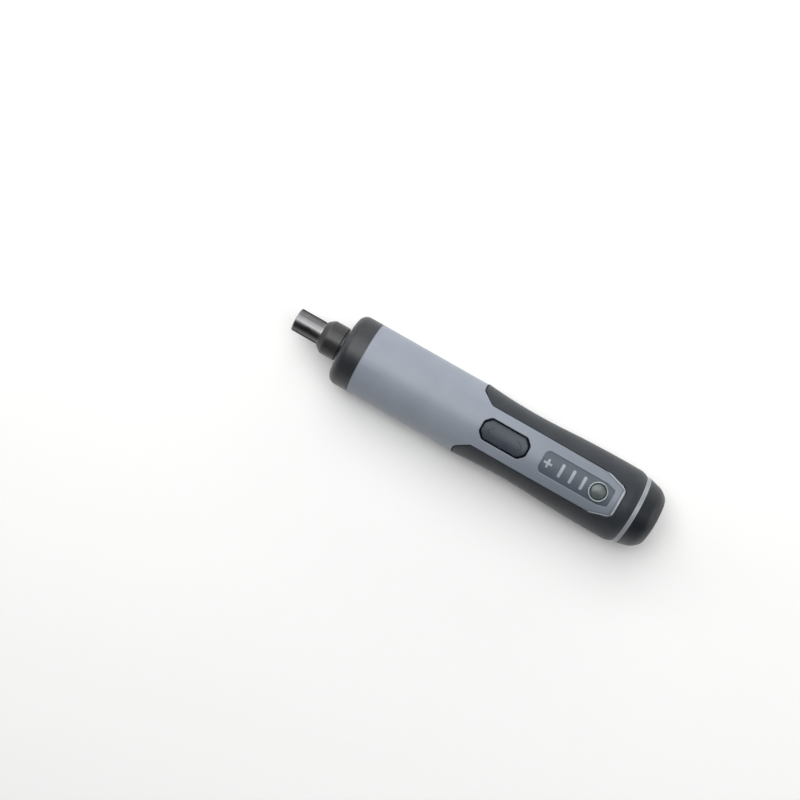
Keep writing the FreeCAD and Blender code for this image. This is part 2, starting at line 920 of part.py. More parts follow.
def tongue_corners(margin, front):
    """Plan outline of the tongue and the barrel's rear edge, grown by a margin."""
    half = tongue_width / 2 + margin
    flare = tongue_flare_half_width + margin
    end_half = tongue_end_width / 2 + margin
    taper = tongue_end + tongue_taper_length
    side = barrel_diameter
    right = [(front, side), (grip_front - margin, side), (grip_front - margin, flare, tongue_flare_round),
             (grip_front - tongue_flare_length - margin / 2, half, tongue_round),
             (taper, half, tongue_round),
             (tongue_end - margin, end_half, tongue_round)]
    left = [(c[0], -c[1], *c[2:]) for c in reversed(right)]
    return right + left


def on_barrel(edge):
    """Whether an edge runs on the barrel's outer surface."""
    points = edge.discretize(edge_samples)
    return all(abs(math.hypot(p.y, p.z) - barrel_radius) < surface_gap for p in points)


def tongue():
    """Bare strip of shell that carries the controls, rooted in the barrel, with its outer edge rounded."""
    front = grip_front + tongue_root
    strip = tube(front, tongue_end, barrel_radius, neck_bore_radius)
    strip = strip.common(plan_prism(tongue_corners(0, front), 0, barrel_diameter))
    edges = [e for e in strip.Edges if on_barrel(e) and e.BoundBox.XMax < grip_front + surface_gap]
    return strip.makeFillet(shell_edge_round, edges)


def housing_blank():
    """Both shells as one turned tube, with the tongue standing on it."""
    body = turned([
        (spigot_front, spigot_bore_radius), (spigot_front, spigot_radius), (barrel_front, spigot_radius),
        (barrel_front, barrel_radius - shell_edge_bevel), (barrel_front - shell_edge_bevel, barrel_radius),
        (grip_front, barrel_radius, shell_edge_round), (grip_front, neck_radius), (cap_front, neck_radius),
        (cap_front, neck_bore_radius), (barrel_bore_rear, neck_bore_radius),
        (barrel_bore_rear, barrel_bore_radius),
        (barrel_front, barrel_bore_radius), (barrel_front, spigot_bore_radius)])
    return joined([body, tongue()])


def shell_ribs():
    """Ring ribs that hold the gear case, the motor and the cell."""
    ribs = []
    seats = [(barrel_front, motor_front, case_rib_shares, case_radius, 0, barrel_bore_radius),
             (motor_front, can_rear, motor_rib_shares, motor_radius, 0, barrel_bore_radius),
             (cell_front, cell_rear, cell_rib_shares, cell_radius, cell_z, neck_bore_radius)]
    for front, rear, shares, seat_radius, seat_z, bore in seats:
        seat = rod(front, rear, seat_radius)
        seat.translate(Vector(0, 0, seat_z))
        for share in shares:
            middle = front + (rear - front) * share
            disc = rod(middle + rib_thickness / 2, middle - rib_thickness / 2, bore + neck_wall / 2)
            ribs.append(disc.cut(seat))
    return ribs


def inside_neck(shape):
    """Keeps a boss or post within the neck's wall."""
    return shape.common(rod(grip_front + step_wall, cap_front, neck_radius - neck_wall / 2))


def boss_places():
    """Plan places of the four screw bosses."""
    return [(x, side * boss_y) for x in (front_boss_x, tail_boss_x) for side in (-1, 1)]


def seam_rebates(sign):
    """Shallow steps that leave a fine line between the shells along the barrel."""
    depth_range = (barrel_radius - seam_depth, barrel_radius + overrun)
    return [block((barrel_front, grip_front), [side * y for y in depth_range], (0, sign * seam_gap))
            for side in (-1, 1)]


def housing_half(sign):
    """The ribbed tube above or below the parting plane, notched for the gear case's keys."""
    reach = barrel_diameter
    half = block((tail_end - reach, tip + reach), (-reach, reach), (0, sign * reach))
    shell = joined([housing_blank()] + shell_ribs()).common(half)
    for cutter in case_keys() + seam_rebates(sign):
        shell = shell.cut(cutter)
    return shell


def bay_block():
    """Room for the board under the tongue."""
    return block((board_front + bay_gap, board_rear - bay_gap), (-bay_width / 2, bay_width / 2),
                 (board_level - bay_gap, bay_ceiling))


def rocker_corners(length, width, corner):
    """Plan outline of the rocker: a long rectangle with bevelled corners."""
    x_end, y_end = length / 2, width / 2
    quarter = [(x_end, y_end - corner), (x_end - corner, y_end)]
    half = quarter + [(-x, y) for x, y in reversed(quarter)]
    whole = half + [(x, -y) for x, y in reversed(half)]
    return [(rocker_middle + x, y, corner * rocker_round_share) for x, y in whole]


def rocker_pocket_corners():
    """Plan outline of the opening round the rocker."""
    return rocker_corners(rocker_length + 2 * button_gap, rocker_width + 2 * button_gap, rocker_corner)


def panel_corners():
    """Plan outline of the indicator panel: rounded in front, tapered at the rear like the tongue."""
    half = panel_width / 2
    taper_start = panel_rear + panel_taper_length
    return [(panel_front, -half, panel_front_round), (panel_front, half, panel_front_round),
            (taper_start, half, panel_taper_round), (panel_rear, half - panel_taper, panel_rear_round),
            (panel_rear, -half + panel_taper, panel_rear_round), (taper_start, -half, panel_taper_round)]


def bar_blocks(gap, low, high):
    """Upright blocks with rounded corners for the three light bars, grown by a gap."""
    half_x = bar_width / 2 + gap
    half_y = bar_height / 2 + gap
    corners = rectangle(half_x, half_y, bar_round)
    return [plan_prism([(x + u, v, r) for u, v, r in corners], low, high) for x in bar_places]


def board_post_places():
    """Plan places of the two posts that carry the board: at its front, and beside the mode button."""
    side = (board_width - post_diameter) / 2
    return [(board_front - post_inset, 0), (mode_x + bezel_radius, side)]


def cut_softened(shell, cutter):
    """Cuts an opening in the tongue and rounds its rim."""
    opened = shell.cut(cutter)
    room = cutter.BoundBox
    room.enlarge(surface_gap)
    rim = [e for e in opened.Edges if on_barrel(e) and room.isInside(e.BoundBox)]
    return opened.makeFillet(pocket_round, rim)


def upper_shell():
    """Shell half with the tongue, the controls' openings and the board bay."""
    shell = housing_half(1)
    bosses = [inside_neck(post(x, y, 0, neck_radius, boss_radius)) for x, y in boss_places()]
    shell = joined([shell] + bosses)
    shell = shell.cut(bay_block())
    posts = [post(x, y, board_top, bay_ceiling + slide_gap, post_diameter / 2)
             for x, y in board_post_places()]
    shell = joined([shell] + posts)
    sky = barrel_diameter
    shell = cut_softened(shell, plan_prism(rocker_pocket_corners(), 0, sky))
    pocket = plan_prism(panel_corners(), 0, sky)
    pocket = pocket.cut(rod(panel_front + overrun, panel_rear - overrun, panel_floor_radius))
    shell = cut_softened(shell, pocket)
    for cutter in bar_blocks(bar_gap, bay_ceiling - overrun, sky):
        shell = shell.cut(cutter)
    shell = shell.cut(post(mode_x, 0, bay_ceiling - overrun, sky, mode_radius + slide_gap))
    pin_half = rocker_width / 2 + button_gap + rocker_pin_end_length
    slot = block((rocker_middle - rocker_pin_radius, rocker_middle + rocker_pin_radius),
                 (-pin_half, pin_half), (board_level, rocker_pin_z))
    shell = shell.cut(slot).cut(rocker_pin())
    for x, y in boss_places():
        hole_top = screw_length - screw_seat_depth + overrun
        shell = shell.cut(post(x, y, -overrun, hole_top, screw_diameter / 2))
    for x, y in board_post_places():
        thread = post(x, y, board_top - overrun, board_top + board_screw_length, board_screw_diameter / 2)
        shell = shell.cut(thread)
    return shell


def lower_shell():
    """Shell half at the back, with the screw seats and the posts of the charging board."""
    shell = housing_half(-1)
    bosses = [inside_neck(post(x, y, -neck_radius, 0, boss_radius)) for x, y in boss_places()]
    shell = joined([shell] + bosses + charge_posts())
    for x, y in boss_places():
        shell = shell.cut(post(x, y, -barrel_diameter, overrun, screw_diameter / 2))
        shell = shell.cut(post(x, y, -barrel_diameter, -screw_seat_depth, screw_head_diameter / 2))
    return cut_back_flat(shell)


def charge_posts():
    """Two walls in the lower shell that carry the charging board."""
    front, _ = charge_board_span()
    rear = cap_front + cap_spigot_length + slide_gap
    top = -receptacle_height / 2 - charge_board_thickness
    outer = charge_board_width / 2
    inner = outer - charge_post_width
    return [inside_neck(block((front, rear), (side * inner, side * outer), (-neck_radius, top)))
            for side in (-1, 1)]


def shell_screws():
    """Four screws that close the shells, under the grip."""
    screws = []
    for x, y in boss_places():
        seat = -screw_seat_depth
        low = seat - screw_head_height
        head = post(x, y, low, seat, screw_head_diameter / 2)
        shank = post(x, y, seat, seat + screw_length, screw_diameter / 2)
        half_l, half_w = screw_diameter / 2, screw_head_height / 4
        drive = block((x - half_l, x + half_l), (y - half_w, y + half_w), (low, low + screw_recess_depth))
        cross = drive.copy()
        cross.rotate(Vector(x, y, 0), up, 90)
        screws.append(joined([head, shank]).cut(drive).cut(cross))
    return group(screws)


# Outer trim

def front_collar():
    """Black collar that closes the front of the shells round the snout."""
    opening = snout_radius + collar_opening_gap
    flange_room = case_radius + end_gap
    collar = turned([
        (collar_front, opening, collar_mouth_round), (collar_front, barrel_radius, collar_round),
        (barrel_front, barrel_radius), (barrel_front, spigot_radius), (spigot_front, spigot_radius),
        (spigot_front, flange_room), (flange_front, flange_room), (flange_front, opening)])
    return cut_back_flat(collar)


def tangent_arc(start, direction, end):
    """Arc in the profile plane that leaves start along a direction and reaches end."""
    chord = end.sub(start)
    normal = Vector(-direction.z, 0, direction.x)
    if normal.dot(chord) < 0:
        normal = normal.negative()
    radius = chord.dot(chord) / (2 * normal.dot(chord))
    centre = start.add(normal.multiply(radius))
    half = start.sub(centre).add(end.sub(centre)).normalize()
    return Part.Arc(start, centre.add(half.multiply(radius)), end).toShape()


def grip_profile():
    """Profile of the rubber: a lip in front, a hollow waist, full at the tail, rounded in to the ring."""
    waist_x = grip_front - grip_length * waist_share
    swell_x = grip_front - grip_length * swell_share
    front_rise = waist_depth + grip_lip
    waist_curve = ((grip_front - waist_x) ** 2 + front_rise ** 2) / (2 * front_rise)
    full_rise = waist_depth + swell_rise
    both_curves = ((waist_x - swell_x) ** 2 + full_rise ** 2) / (2 * full_rise)
    waist_centre = on_axis_plane(waist_x, waist_radius + waist_curve)
    swell_centre = on_axis_plane(swell_x, swell_radius - (both_curves - waist_curve))
    meeting = waist_centre.add(swell_centre.sub(waist_centre).multiply(waist_curve / both_curves))
    swell_curve = both_curves - waist_curve
    rear_x = ring_front + grip_rear_round
    rear = on_axis_plane(rear_x, swell_centre.z + math.sqrt(swell_curve ** 2 - (rear_x - swell_x) ** 2))
    to_rear = rear.sub(swell_centre).normalize()
    front_x = grip_front - grip_front_bevel
    front = on_axis_plane(front_x, waist_centre.z - math.sqrt(waist_curve ** 2 - (front_x - waist_x) ** 2))
    lip = on_axis_plane(grip_front, front.z - grip_front_bevel)
    seat_front = on_axis_plane(grip_front, neck_radius)
    seat_rear = on_axis_plane(ring_front, neck_radius)
    end = on_axis_plane(ring_front, ring_radius)
    return Part.Wire([
        Part.makeLine(seat_front, lip), Part.makeLine(lip, front),
        Part.Arc(front, on_axis_plane(waist_x, waist_radius), meeting).toShape(),
        Part.Arc(meeting, on_axis_plane(swell_x, swell_radius), rear).toShape(),
        tangent_arc(rear, Vector(-to_rear.z, 0, to_rear.x), end),
        Part.makeLine(end, seat_rear), Part.makeLine(seat_rear, seat_front)])


def grip_sleeve():
    """Rubber sleeve slipped over the neck, open over the tongue."""
    sleeve = turned_wire(grip_profile())
    window = plan_prism(tongue_corners(tongue_groove, grip_front + overrun), 0, barrel_diameter)
    return cut_back_flat(sleeve.cut(window))


def tail_ring():
    """Pale trim ring behind the grip."""
    return tube(ring_front, cap_front, ring_radius, neck_radius)


def cap_profile(inset):
    """Half profile of the tail cap, drawn in by an inset."""
    front = ring_radius - inset
    shoulder = cap_front - cap_length * cap_shoulder_share + inset / 2
    end = tail_end + inset
    return [(cap_front, front), (shoulder, front - cap_shoulder_drop, cap_shoulder_round),
            (end, cap_end_radius - inset / 2, cap_end_round), (end, 0), (cap_front, 0)]


def port_prism(front, rear, margin):
    """Rounded slot for a charging plug, grown by a margin."""
    half_w, half_h = port_width / 2 + margin, port_height / 2 + margin
    return end_prism(rectangle(half_w, half_h, half_h * cap_shoulder_share), front, rear)


def tail_cap():
    """Black cap plugged into the shells, with an opening in its end for the port frame."""
    cap = turned(cap_profile(0)).cut(turned(cap_profile(cap_wall)))
    inner = neck_bore_radius - cap_spigot_wall
    spigot = tube(cap_front + cap_spigot_length, cap_front - cap_spigot_length, neck_bore_radius, inner)
    flange = tube(cap_front, cap_front - cap_wall, ring_radius - cap_wall / 2, inner)
    cap = joined([cap, spigot, flange])
    return cap.cut(port_prism(tail_end + 2 * cap_wall, tail_end - overrun, port_wall))


def port_frame():
    """Frame of the charging recess: a short tunnel in the cap's end, with the receptacle in its floor."""
    frame = port_prism(cap_front, tail_end, port_wall)
    frame = frame.cut(port_prism(port_floor, tail_end - overrun, 0))
    return frame.cut(receptacle_outline(cap_front + overrun, tail_end, 0))


# Controls

def rocker_pin():
    """Steel pin that the rocker tilts on."""
    half = rocker_width / 2 + button_gap + rocker_pin_end_length
    return cross_rod(rocker_middle, rocker_pin_z, rocker_pin_radius, half)


def rocker_nub_x():
    """Distance of the rocker's nubs, and of the switches below them, from its middle."""
    return rocker_length * rocker_nub_share


def rocker_button():
    """Rocker: crowned across, dipped in the middle, hollow below, with a hub on the pin."""
    sky = barrel_diameter
    cap = plan_prism(rocker_corners(rocker_length, rocker_width, rocker_corner), rocker_bottom, sky)
    cap = cap.common(rod(rocker_middle + rocker_length, rocker_middle - rocker_length, rocker_top_radius))
    top_edges = [e for e in cap.Edges if e.BoundBox.ZMin > barrel_radius - rocker_rise]
    cap = cap.makeFillet(rocker_edge_round, top_edges)
    half = rocker_length / 2
    dip_radius = (half ** 2 + rocker_dip ** 2) / (2 * rocker_dip)
    dip_z = rocker_top_radius - rocker_dip + dip_radius
    cap = cap.cut(cross_rod(rocker_middle, dip_z, dip_radius, sky))
    room = rocker_corners(rocker_length - 2 * rocker_side_wall, rocker_width - 2 * rocker_side_wall,
                          rocker_corner - rocker_side_wall / 2)
    ceiling = barrel_radius - rocker_dip - rocker_top_wall
    cap = cap.cut(plan_prism(room, rocker_bottom - overrun, ceiling))
    hub_half = rocker_width / 2 - rocker_side_wall / 2
    hub_radius = rocker_pin_radius + rocker_hub_wall
    hub = cross_rod(rocker_middle, rocker_pin_z, hub_radius, hub_half)
    web = block((rocker_middle - hub_radius, rocker_middle + hub_radius), (-hub_half, hub_half),
                (rocker_pin_z, barrel_radius - rocker_top_wall))
    nubs = [post(rocker_middle + side * rocker_nub_x(), 0, rocker_bottom - rocker_nub_reach,
                 barrel_radius - rocker_top_wall, rocker_nub_diameter / 2) for side in (-1, 1)]
    button = joined([cap, hub, web] + nubs)
    return button.cut(cross_rod(rocker_middle, rocker_pin_z, rocker_pin_radius + running_gap, sky))


def indicator_panel():
    """Dark curved panel with slots for the light bars and a hole for the mode button's bezel."""
    panel = plan_prism(panel_corners(), 0, barrel_diameter)
    skin = tube(panel_front + overrun, panel_rear - overrun, panel_top_radius, panel_floor_radius)
    panel = panel.common(skin)
    for cutter in bar_blocks(0, 0, barrel_diameter):
        panel = panel.cut(cutter)
    return panel.cut(post(mode_x, 0, 0, barrel_diameter, bezel_radius))


def light_guide():
    """Clear moulding: three bars that fill the panel's slots, on one plate inside the bay."""
    top = bay_ceiling - light_plate_drop
    low = top - light_plate_thickness
    margin = bar_width / 2 + light_plate_margin
    half = bar_height / 2 + bar_gap
    plate = block((bar_places[0] + margin, bar_places[-1] - margin), (-half, half), (low, top))
    skin = rod(panel_front, panel_rear, panel_top_radius)
    bars = [bar.common(skin) for bar in bar_blocks(0, low, barrel_diameter)]
    return joined([plate] + bars)


def mode_bezel():
    """Bright ring round the mode button, seated on the pocket's floor."""
    top = panel_top_radius + bezel_rise
    ring = post(mode_x, 0, 0, top, bezel_radius)
    ring = ring.cut(post(mode_x, 0, -overrun, top + overrun, bezel_radius - bezel_wall))
    return ring.cut(rod(panel_front, tongue_end, panel_floor_radius))


def mode_button():
    """Domed push button with a flange below the shell's wall and a stem over its switch."""
    flange_top = bay_ceiling - end_gap
    flange_low = flange_top - mode_flange_thickness
    stem_low = flange_low - mode_stem_length
    shoulder = panel_top_radius + mode_rise
    crown = shoulder + mode_dome
    dome_radius = (mode_radius ** 2 + mode_dome ** 2) / (2 * mode_dome)
    stem = post(mode_x, 0, stem_low, flange_top, mode_stem_diameter / 2)
    flange = post(mode_x, 0, flange_low, flange_top, mode_radius + mode_flange)
    body = post(mode_x, 0, flange_low, crown, mode_radius)
    dome = Part.makeSphere(dome_radius, Vector(mode_x, 0, crown - dome_radius))
    return joined([body.common(dome), flange, stem])


# Board

def main_board():
    """Circuit board under the tongue, on the posts of the upper shell."""
    half = board_width / 2
    board = block((board_front, board_rear), (-half, half), (board_level, board_top))
    for x, y in board_post_places():
        board = board.cut(post(x, y, 0, barrel_diameter, board_screw_diameter / 2))
    return board


def board_screws():
    """Two screws that hold the board to its posts."""
    screws = []
    for x, y in board_post_places():
        head = post(x, y, board_level - board_screw_head_height, board_level, board_screw_head_diameter / 2)
        shank = post(x, y, board_level, board_top + board_screw_length, board_screw_diameter / 2)
        screws.append(joined([head, shank]))
    return group(screws)


def tact_switch(x):
    """One push switch on the board."""
    half = tact_side / 2
    shoulder = board_top + tact_height
    body = block((x - half, x + half), (-half, half), (board_top, shoulder))
    plunger = post(x, 0, shoulder, shoulder + tact_plunger_height, tact_plunger_diameter / 2)
    return joined([body, plunger])


def tact_switches():
    """Push switches below both ends of the rocker, and a flat dome switch below the mode button."""
    pair = [tact_switch(rocker_middle + side * rocker_nub_x()) for side in (-1, 1)]
    dome = post(mode_x, 0, board_top, board_top + mode_dome_height, mode_dome_diameter / 2)
    return group(pair + [dome])


def indicator_leds():
    """One lamp below each light bar."""
    return group([block((x - led_width / 2, x + led_width / 2), (-led_length / 2, led_length / 2),
                        (board_top, board_top + led_height)) for x in bar_places])


def motor_lead(side):
    """One lead from a motor terminal back and up to the board."""
    y = side * (terminal_y - terminal_thickness / 2 - lead_diameter / 2)
    pad_x = board_front - lead_pad_inset
    start = Vector(terminal_rear + lead_overlap, y, 0)
    end = Vector(pad_x, y, board_level)
    bend = board_level * lead_bend_share
    arc_start = Vector(pad_x + bend, y, 0)
    arc_end = Vector(pad_x, y, bend)
    half = math.sqrt(0.5)
    arc_middle = Vector(pad_x + bend * (1 - half), y, bend * (1 - half))
    path = Part.Wire([Part.makeLine(start, arc_start), Part.Arc(arc_start, arc_middle, arc_end).toShape(),
                      Part.makeLine(arc_end, end)])
    section = Part.Wire([Part.makeCircle(lead_diameter / 2, start, along)])
    return path.makePipeShell([section], True, False)


# Cell and charging port

def battery_cell():
    """Cylindrical cell with its crimp groove, plus end towards the motor."""
    groove_front = cell_front - cell_groove_inset
    groove_rear = groove_front - cell_groove_width
    groove_middle = (groove_front + groove_rear) / 2
    soft = cell_edge_round / 2
    cell = turned([
        (cell_front, 0), (cell_front, cell_radius, cell_edge_round), (groove_front, cell_radius, soft),
        (groove_middle, cell_radius - cell_groove_depth, soft), (groove_rear, cell_radius, soft),
        (cell_rear, cell_radius, cell_edge_round), (cell_rear, 0)])
    cell.translate(Vector(0, 0, cell_z))
    return cell


def cell_tabs():
    """Welded strips from both ends of the cell up to the board, bent in over the cell."""
    half = tab_width / 2
    tabs = []
    for face, outward in ((cell_front, 1), (cell_rear, -1)):
        far = face + outward * tab_thickness
        upright = block((face, far), (-half, half), (cell_z - tab_below_axis, board_level))
        foot_end = face - outward * tab_foot
        foot = block((far, foot_end), (-half, half), (board_level - tab_thickness, board_level))
        tabs.append(joined([upright, foot]))
    return group(tabs)


def charge_board_span():
    """Front and rear stations of the charging board."""
    rear = cap_front + charge_board_tail_gap
    return rear + charge_board_length, rear


def charge_board():
    """Small board in the tail that carries the charging port."""
    front, rear = charge_board_span()
    half = charge_board_width / 2
    top = -receptacle_height / 2
    return block((front, rear), (-half, half), (top - charge_board_thickness, top))


def receptacle_outline(front, rear, inset):
    """Prism with the charging port's rounded outline, drawn in by an inset."""
    half_w, half_h = receptacle_width / 2 - inset, receptacle_height / 2 - inset
    return end_prism(rectangle(half_w, half_h, receptacle_round), front, rear)


def usb_receptacle():
    """Charging port: a metal shell with a contact tongue, open to the tail."""
    rear = port_floor
    front = rear + receptacle_length
    shell = receptacle_outline(front, rear, 0)
    shell = shell.cut(receptacle_outline(front - receptacle_wall, rear - overrun, receptacle_wall))
    half_w, half_h = contact_tongue_width / 2, contact_tongue_height / 2
    back = front - receptacle_wall
    contact = block((back, back - contact_tongue_length), (-half_w, half_w), (-half_h, half_h))
    return joined([shell, contact])


def pieces():
    """Every piece of the tool by its node name."""
    made = {
        "bit_sleeve": bit_sleeve(),
        "spindle": spindle(),
        "bit_magnet": rod(hex_bottom, magnet_rear, magnet_diameter / 2),
        "spindle_clip": spindle_clip(),
        "output_carrier": output_carrier(),
        "output_planet_pins": planet_pins(output_carrier_front, output_planet_rear),
        "input_carrier": input_carrier(),
        "input_planet_pins": planet_pins(input_carrier_front, input_planet_rear),
        "gearbox_nose": gearbox_nose(),
        "spindle_bush": spindle_bush(),
        "gear_case": gear_case(),
        "stage_washer": stage_washer(),
        "motor_plate": motor_plate(),
        "motor_screws": motor_screws(),
        "motor_can": motor_can(),
        "motor_end_bell": motor_end_bell(),
        "motor_terminals": motor_terminals(),
        "motor_magnets": motor_magnets(),
        "motor_bushes": motor_bushes(),
        "motor_brushes": motor_brushes(),
        "motor_shaft": motor_shaft(),
        "motor_pinion": motor_pinion(),
        "armature_core": armature_core(),
        "armature_coils": armature_coils(),
        "commutator": commutator(),
        "motor_lead_red": motor_lead(1),
        "motor_lead_black": motor_lead(-1),
        "upper_shell": upper_shell(),
        "lower_shell": lower_shell(),
        "shell_screws": shell_screws(),
        "front_collar": front_collar(),
        "grip_sleeve": grip_sleeve(),
        "tail_ring": tail_ring(),
        "tail_cap": tail_cap(),
        "port_frame": port_frame(),
        "rocker_button": rocker_button(),
        "rocker_pin": rocker_pin(),
        "indicator_panel": indicator_panel(),
        "light_guide": light_guide(),
        "mode_bezel": mode_bezel(),
        "mode_button": mode_button(),
        "main_board": main_board(),
        "board_screws": board_screws(),
        "tact_switches": tact_switches(),
        "indicator_leds": indicator_leds(),
        "battery_cell": battery_cell(),
        "cell_tabs": cell_tabs(),
        "charge_board": charge_board(),
        "usb_receptacle": usb_receptacle(),
    }
    letters = "abcdefghij"
    for stage, front, rear in (("output", output_planet_front, output_planet_rear),
                               ("input", input_planet_front, input_planet_rear)):
        for letter, angle in zip(letters, planet_angles()):
            made[f"{stage}_planet_{letter}"] = planet(front, rear, angle)
    return made


def main():
    os.makedirs("parts", exist_ok=True)
    for name, shape in pieces().items():
        shape.exportStep(f"parts/{name}.step")
        print(f"{name}: {len(shape.Solids)} solid(s), {shape.Volume:.1f} mm3, valid {shape.isValid()}")


main()
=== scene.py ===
import math

import bpy
import numpy as np
from mathutils import Matrix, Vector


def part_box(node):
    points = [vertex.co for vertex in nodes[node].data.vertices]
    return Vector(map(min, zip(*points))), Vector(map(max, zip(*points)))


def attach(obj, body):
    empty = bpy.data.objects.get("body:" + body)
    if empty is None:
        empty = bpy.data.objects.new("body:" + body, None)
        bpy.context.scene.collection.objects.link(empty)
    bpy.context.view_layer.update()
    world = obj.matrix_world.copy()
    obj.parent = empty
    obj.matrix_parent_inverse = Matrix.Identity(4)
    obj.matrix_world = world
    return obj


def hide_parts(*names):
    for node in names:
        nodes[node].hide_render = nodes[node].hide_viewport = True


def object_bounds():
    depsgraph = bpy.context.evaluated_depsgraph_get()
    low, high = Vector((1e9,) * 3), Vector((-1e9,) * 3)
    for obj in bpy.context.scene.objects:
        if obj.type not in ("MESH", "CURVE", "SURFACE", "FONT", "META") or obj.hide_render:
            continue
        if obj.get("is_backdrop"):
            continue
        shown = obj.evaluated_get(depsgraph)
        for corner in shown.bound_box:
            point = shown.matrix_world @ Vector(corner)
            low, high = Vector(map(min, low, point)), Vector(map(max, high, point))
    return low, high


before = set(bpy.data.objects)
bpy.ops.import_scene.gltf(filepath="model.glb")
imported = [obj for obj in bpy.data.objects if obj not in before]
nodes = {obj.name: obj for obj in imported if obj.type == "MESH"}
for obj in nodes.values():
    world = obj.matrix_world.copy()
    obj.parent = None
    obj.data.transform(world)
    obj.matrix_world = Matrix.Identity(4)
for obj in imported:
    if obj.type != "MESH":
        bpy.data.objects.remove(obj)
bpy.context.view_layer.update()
print("frame loaded:", len(nodes), "nodes")

mm = 0.001


def fromScreen(red, green, blue):
    # screen value 0-255 to linear light, the usual 2.4 power curve
    share = np.array([red, green, blue]) / 255.0
    linear = np.where(share <= 0.04045, share / 12.92, ((share + 0.055) / 1.055) ** 2.4)
    return (*linear.tolist(), 1.0)


class Wire:
    # a socket that takes part in sums; each sum adds a Math node
    def __init__(self, finish, socket):
        self.finish = finish
        self.socket = socket

    def reckon(self, operation, first, second):
        return self.finish.add("ShaderNodeMath", {"operation": operation}, {0: first, 1: second})

    def __add__(self, other):
        return self.reckon("ADD", self, other)

    def __radd__(self, other):
        return self.reckon("ADD", other, self)

    def __sub__(self, other):
        return self.reckon("SUBTRACT", self, other)

    def __rsub__(self, other):
        return self.reckon("SUBTRACT", other, self)

    def __mul__(self, other):
        return self.reckon("MULTIPLY", self, other)

    def __rmul__(self, other):
        return self.reckon("MULTIPLY", other, self)


# how wear on a rim is broken up: the lumps' size over the band's width, where they fade in, the least wear between
rimPatches = {"lump": 1.6, "from": (0.44, 0.62), "least": 0.45}


class Finish:
    # one material under construction
    def __init__(self, name, fixed):
        self.material = bpy.data.materials.new(name)
        self.material.use_nodes = True
        self.tree = self.material.node_tree
        self.tree.nodes.clear()
        self.shader = self.add("ShaderNodeBsdfPrincipled", {}, fixed)
        self.add("ShaderNodeOutputMaterial", {}, {"Surface": self.shader}, None)
        self.place = self.add("ShaderNodeTexCoord", {}, {}, "Object")

    # any node: its type, its settings first, then its sockets' values or links
    def add(self, kind, settings, inputs, out=0):
        made = self.tree.nodes.new(kind)
        for key, value in settings.items():
            setattr(made, key, value)
        for key, value in inputs.items():
            if isinstance(value, Wire):
                self.tree.links.new(value.socket, made.inputs[key])
            else:
                made.inputs[key].default_value = value
        return None if out is None else Wire(self, made.outputs[out])

    # noise of a given lump size in metres, 0 to 1
    def noise(self, size, detail=2.0, rough=0.5, vector=None):
        return self.add("ShaderNodeTexNoise", {}, {
            "Vector": vector or self.place, "Scale": 1.0 / size, "Detail": detail, "Roughness": rough})

    # 0 at low and before it, 1 at high and past it, smooth between
    def step(self, value, low, high):
        return self.add("ShaderNodeMapRange", {"interpolation_type": "SMOOTHSTEP"}, {
            "Value": value, "From Min": low, "From Max": high})

    # the first colour where the mask is 0, the second where it is 1
    def mix(self, mask, first, second):
        return self.add("ShaderNodeMix", {"data_type": "RGBA"}, {0: mask, 6: first, 7: second}, 2)

    # the place with each axis times a factor, which stretches a pattern along a small one
    def scaled(self, factors):
        return self.add("ShaderNodeVectorMath", {"operation": "MULTIPLY"}, {0: self.place, 1: factors})

    # the place along the tool, across it and up
    def axes(self):
        return [self.add("ShaderNodeSeparateXYZ", {}, {0: self.place}, k) for k in "XYZ"]

    # the place along the axis and off it, so that a pattern runs round a turned piece
    def lathePlace(self):
        along = self.axes()[0]
        off = self.add("ShaderNodeVectorMath", {"operation": "LENGTH"}, {0: self.scaled((0, 1, 1))}, "Value")
        return self.add("ShaderNodeCombineXYZ", {}, {"X": along, "Y": off})

    # wear on the rims of a turned piece: bands about the given places along the tool, broken up by noise
    def rimWear(self, places, wide):
        along = self.axes()[0]
        lumps = self.noise(wide * rimPatches["lump"], detail=3.0, rough=0.65)
        patches = rimPatches["least"] + (1 - rimPatches["least"]) * self.step(lumps, *rimPatches["from"])
        worn = 0.0
        for place in places:
            off = self.add("ShaderNodeMath", {"operation": "ABSOLUTE"}, {0: along - place})
            worn = worn + self.step(off, wide, 0.0)
        return worn * patches

    # how far a place lies inside a strip's tapered end: the nearer of the end line and the slants beside it, where
    # the distance to a slant is the gap across times the cosine of its angle
    def insideEnd(self, end):
        along, across = self.axes()[:2]
        ahead = along - end["at"]
        aside = self.add("ShaderNodeMath", {"operation": "ABSOLUTE"}, {0: across})
        slant = (ahead * end["slope"] + end["half"] - aside) * (math.cos(math.atan(end["slope"])) * end["tight"])
        return self.add("ShaderNodeMath", {"operation": "MINIMUM"}, {0: ahead, 1: slant})

    # a normal that leans with the height's slope; a height of 1 is this depth in metres
    def bump(self, height, depth):
        return self.add("ShaderNodeBump", {}, {"Strength": 1.0, "Distance": depth, "Height": height})

    # links what varies and hands the material over
    def done(self, **sockets):
        names = {"colour": "Base Color", "rough": "Roughness", "normal": "Normal", "metal": "Metallic",
                 "glow": "Emission Color"}
        for key, value in sockets.items():
            self.tree.links.new(value.socket, self.shader.socket.node.inputs[names[key]])
        return self.material


# moulded plastic: two near tones in slow clouds, a spark-eroded grain, rubbed streaks along the tool
mouldedMake = {"cloudFrom": (0.3, 0.7), "cloudBump": 0.3, "streakPull": (0.12, 1.0, 1.0), "streakFrom": (0.6, 0.78)}


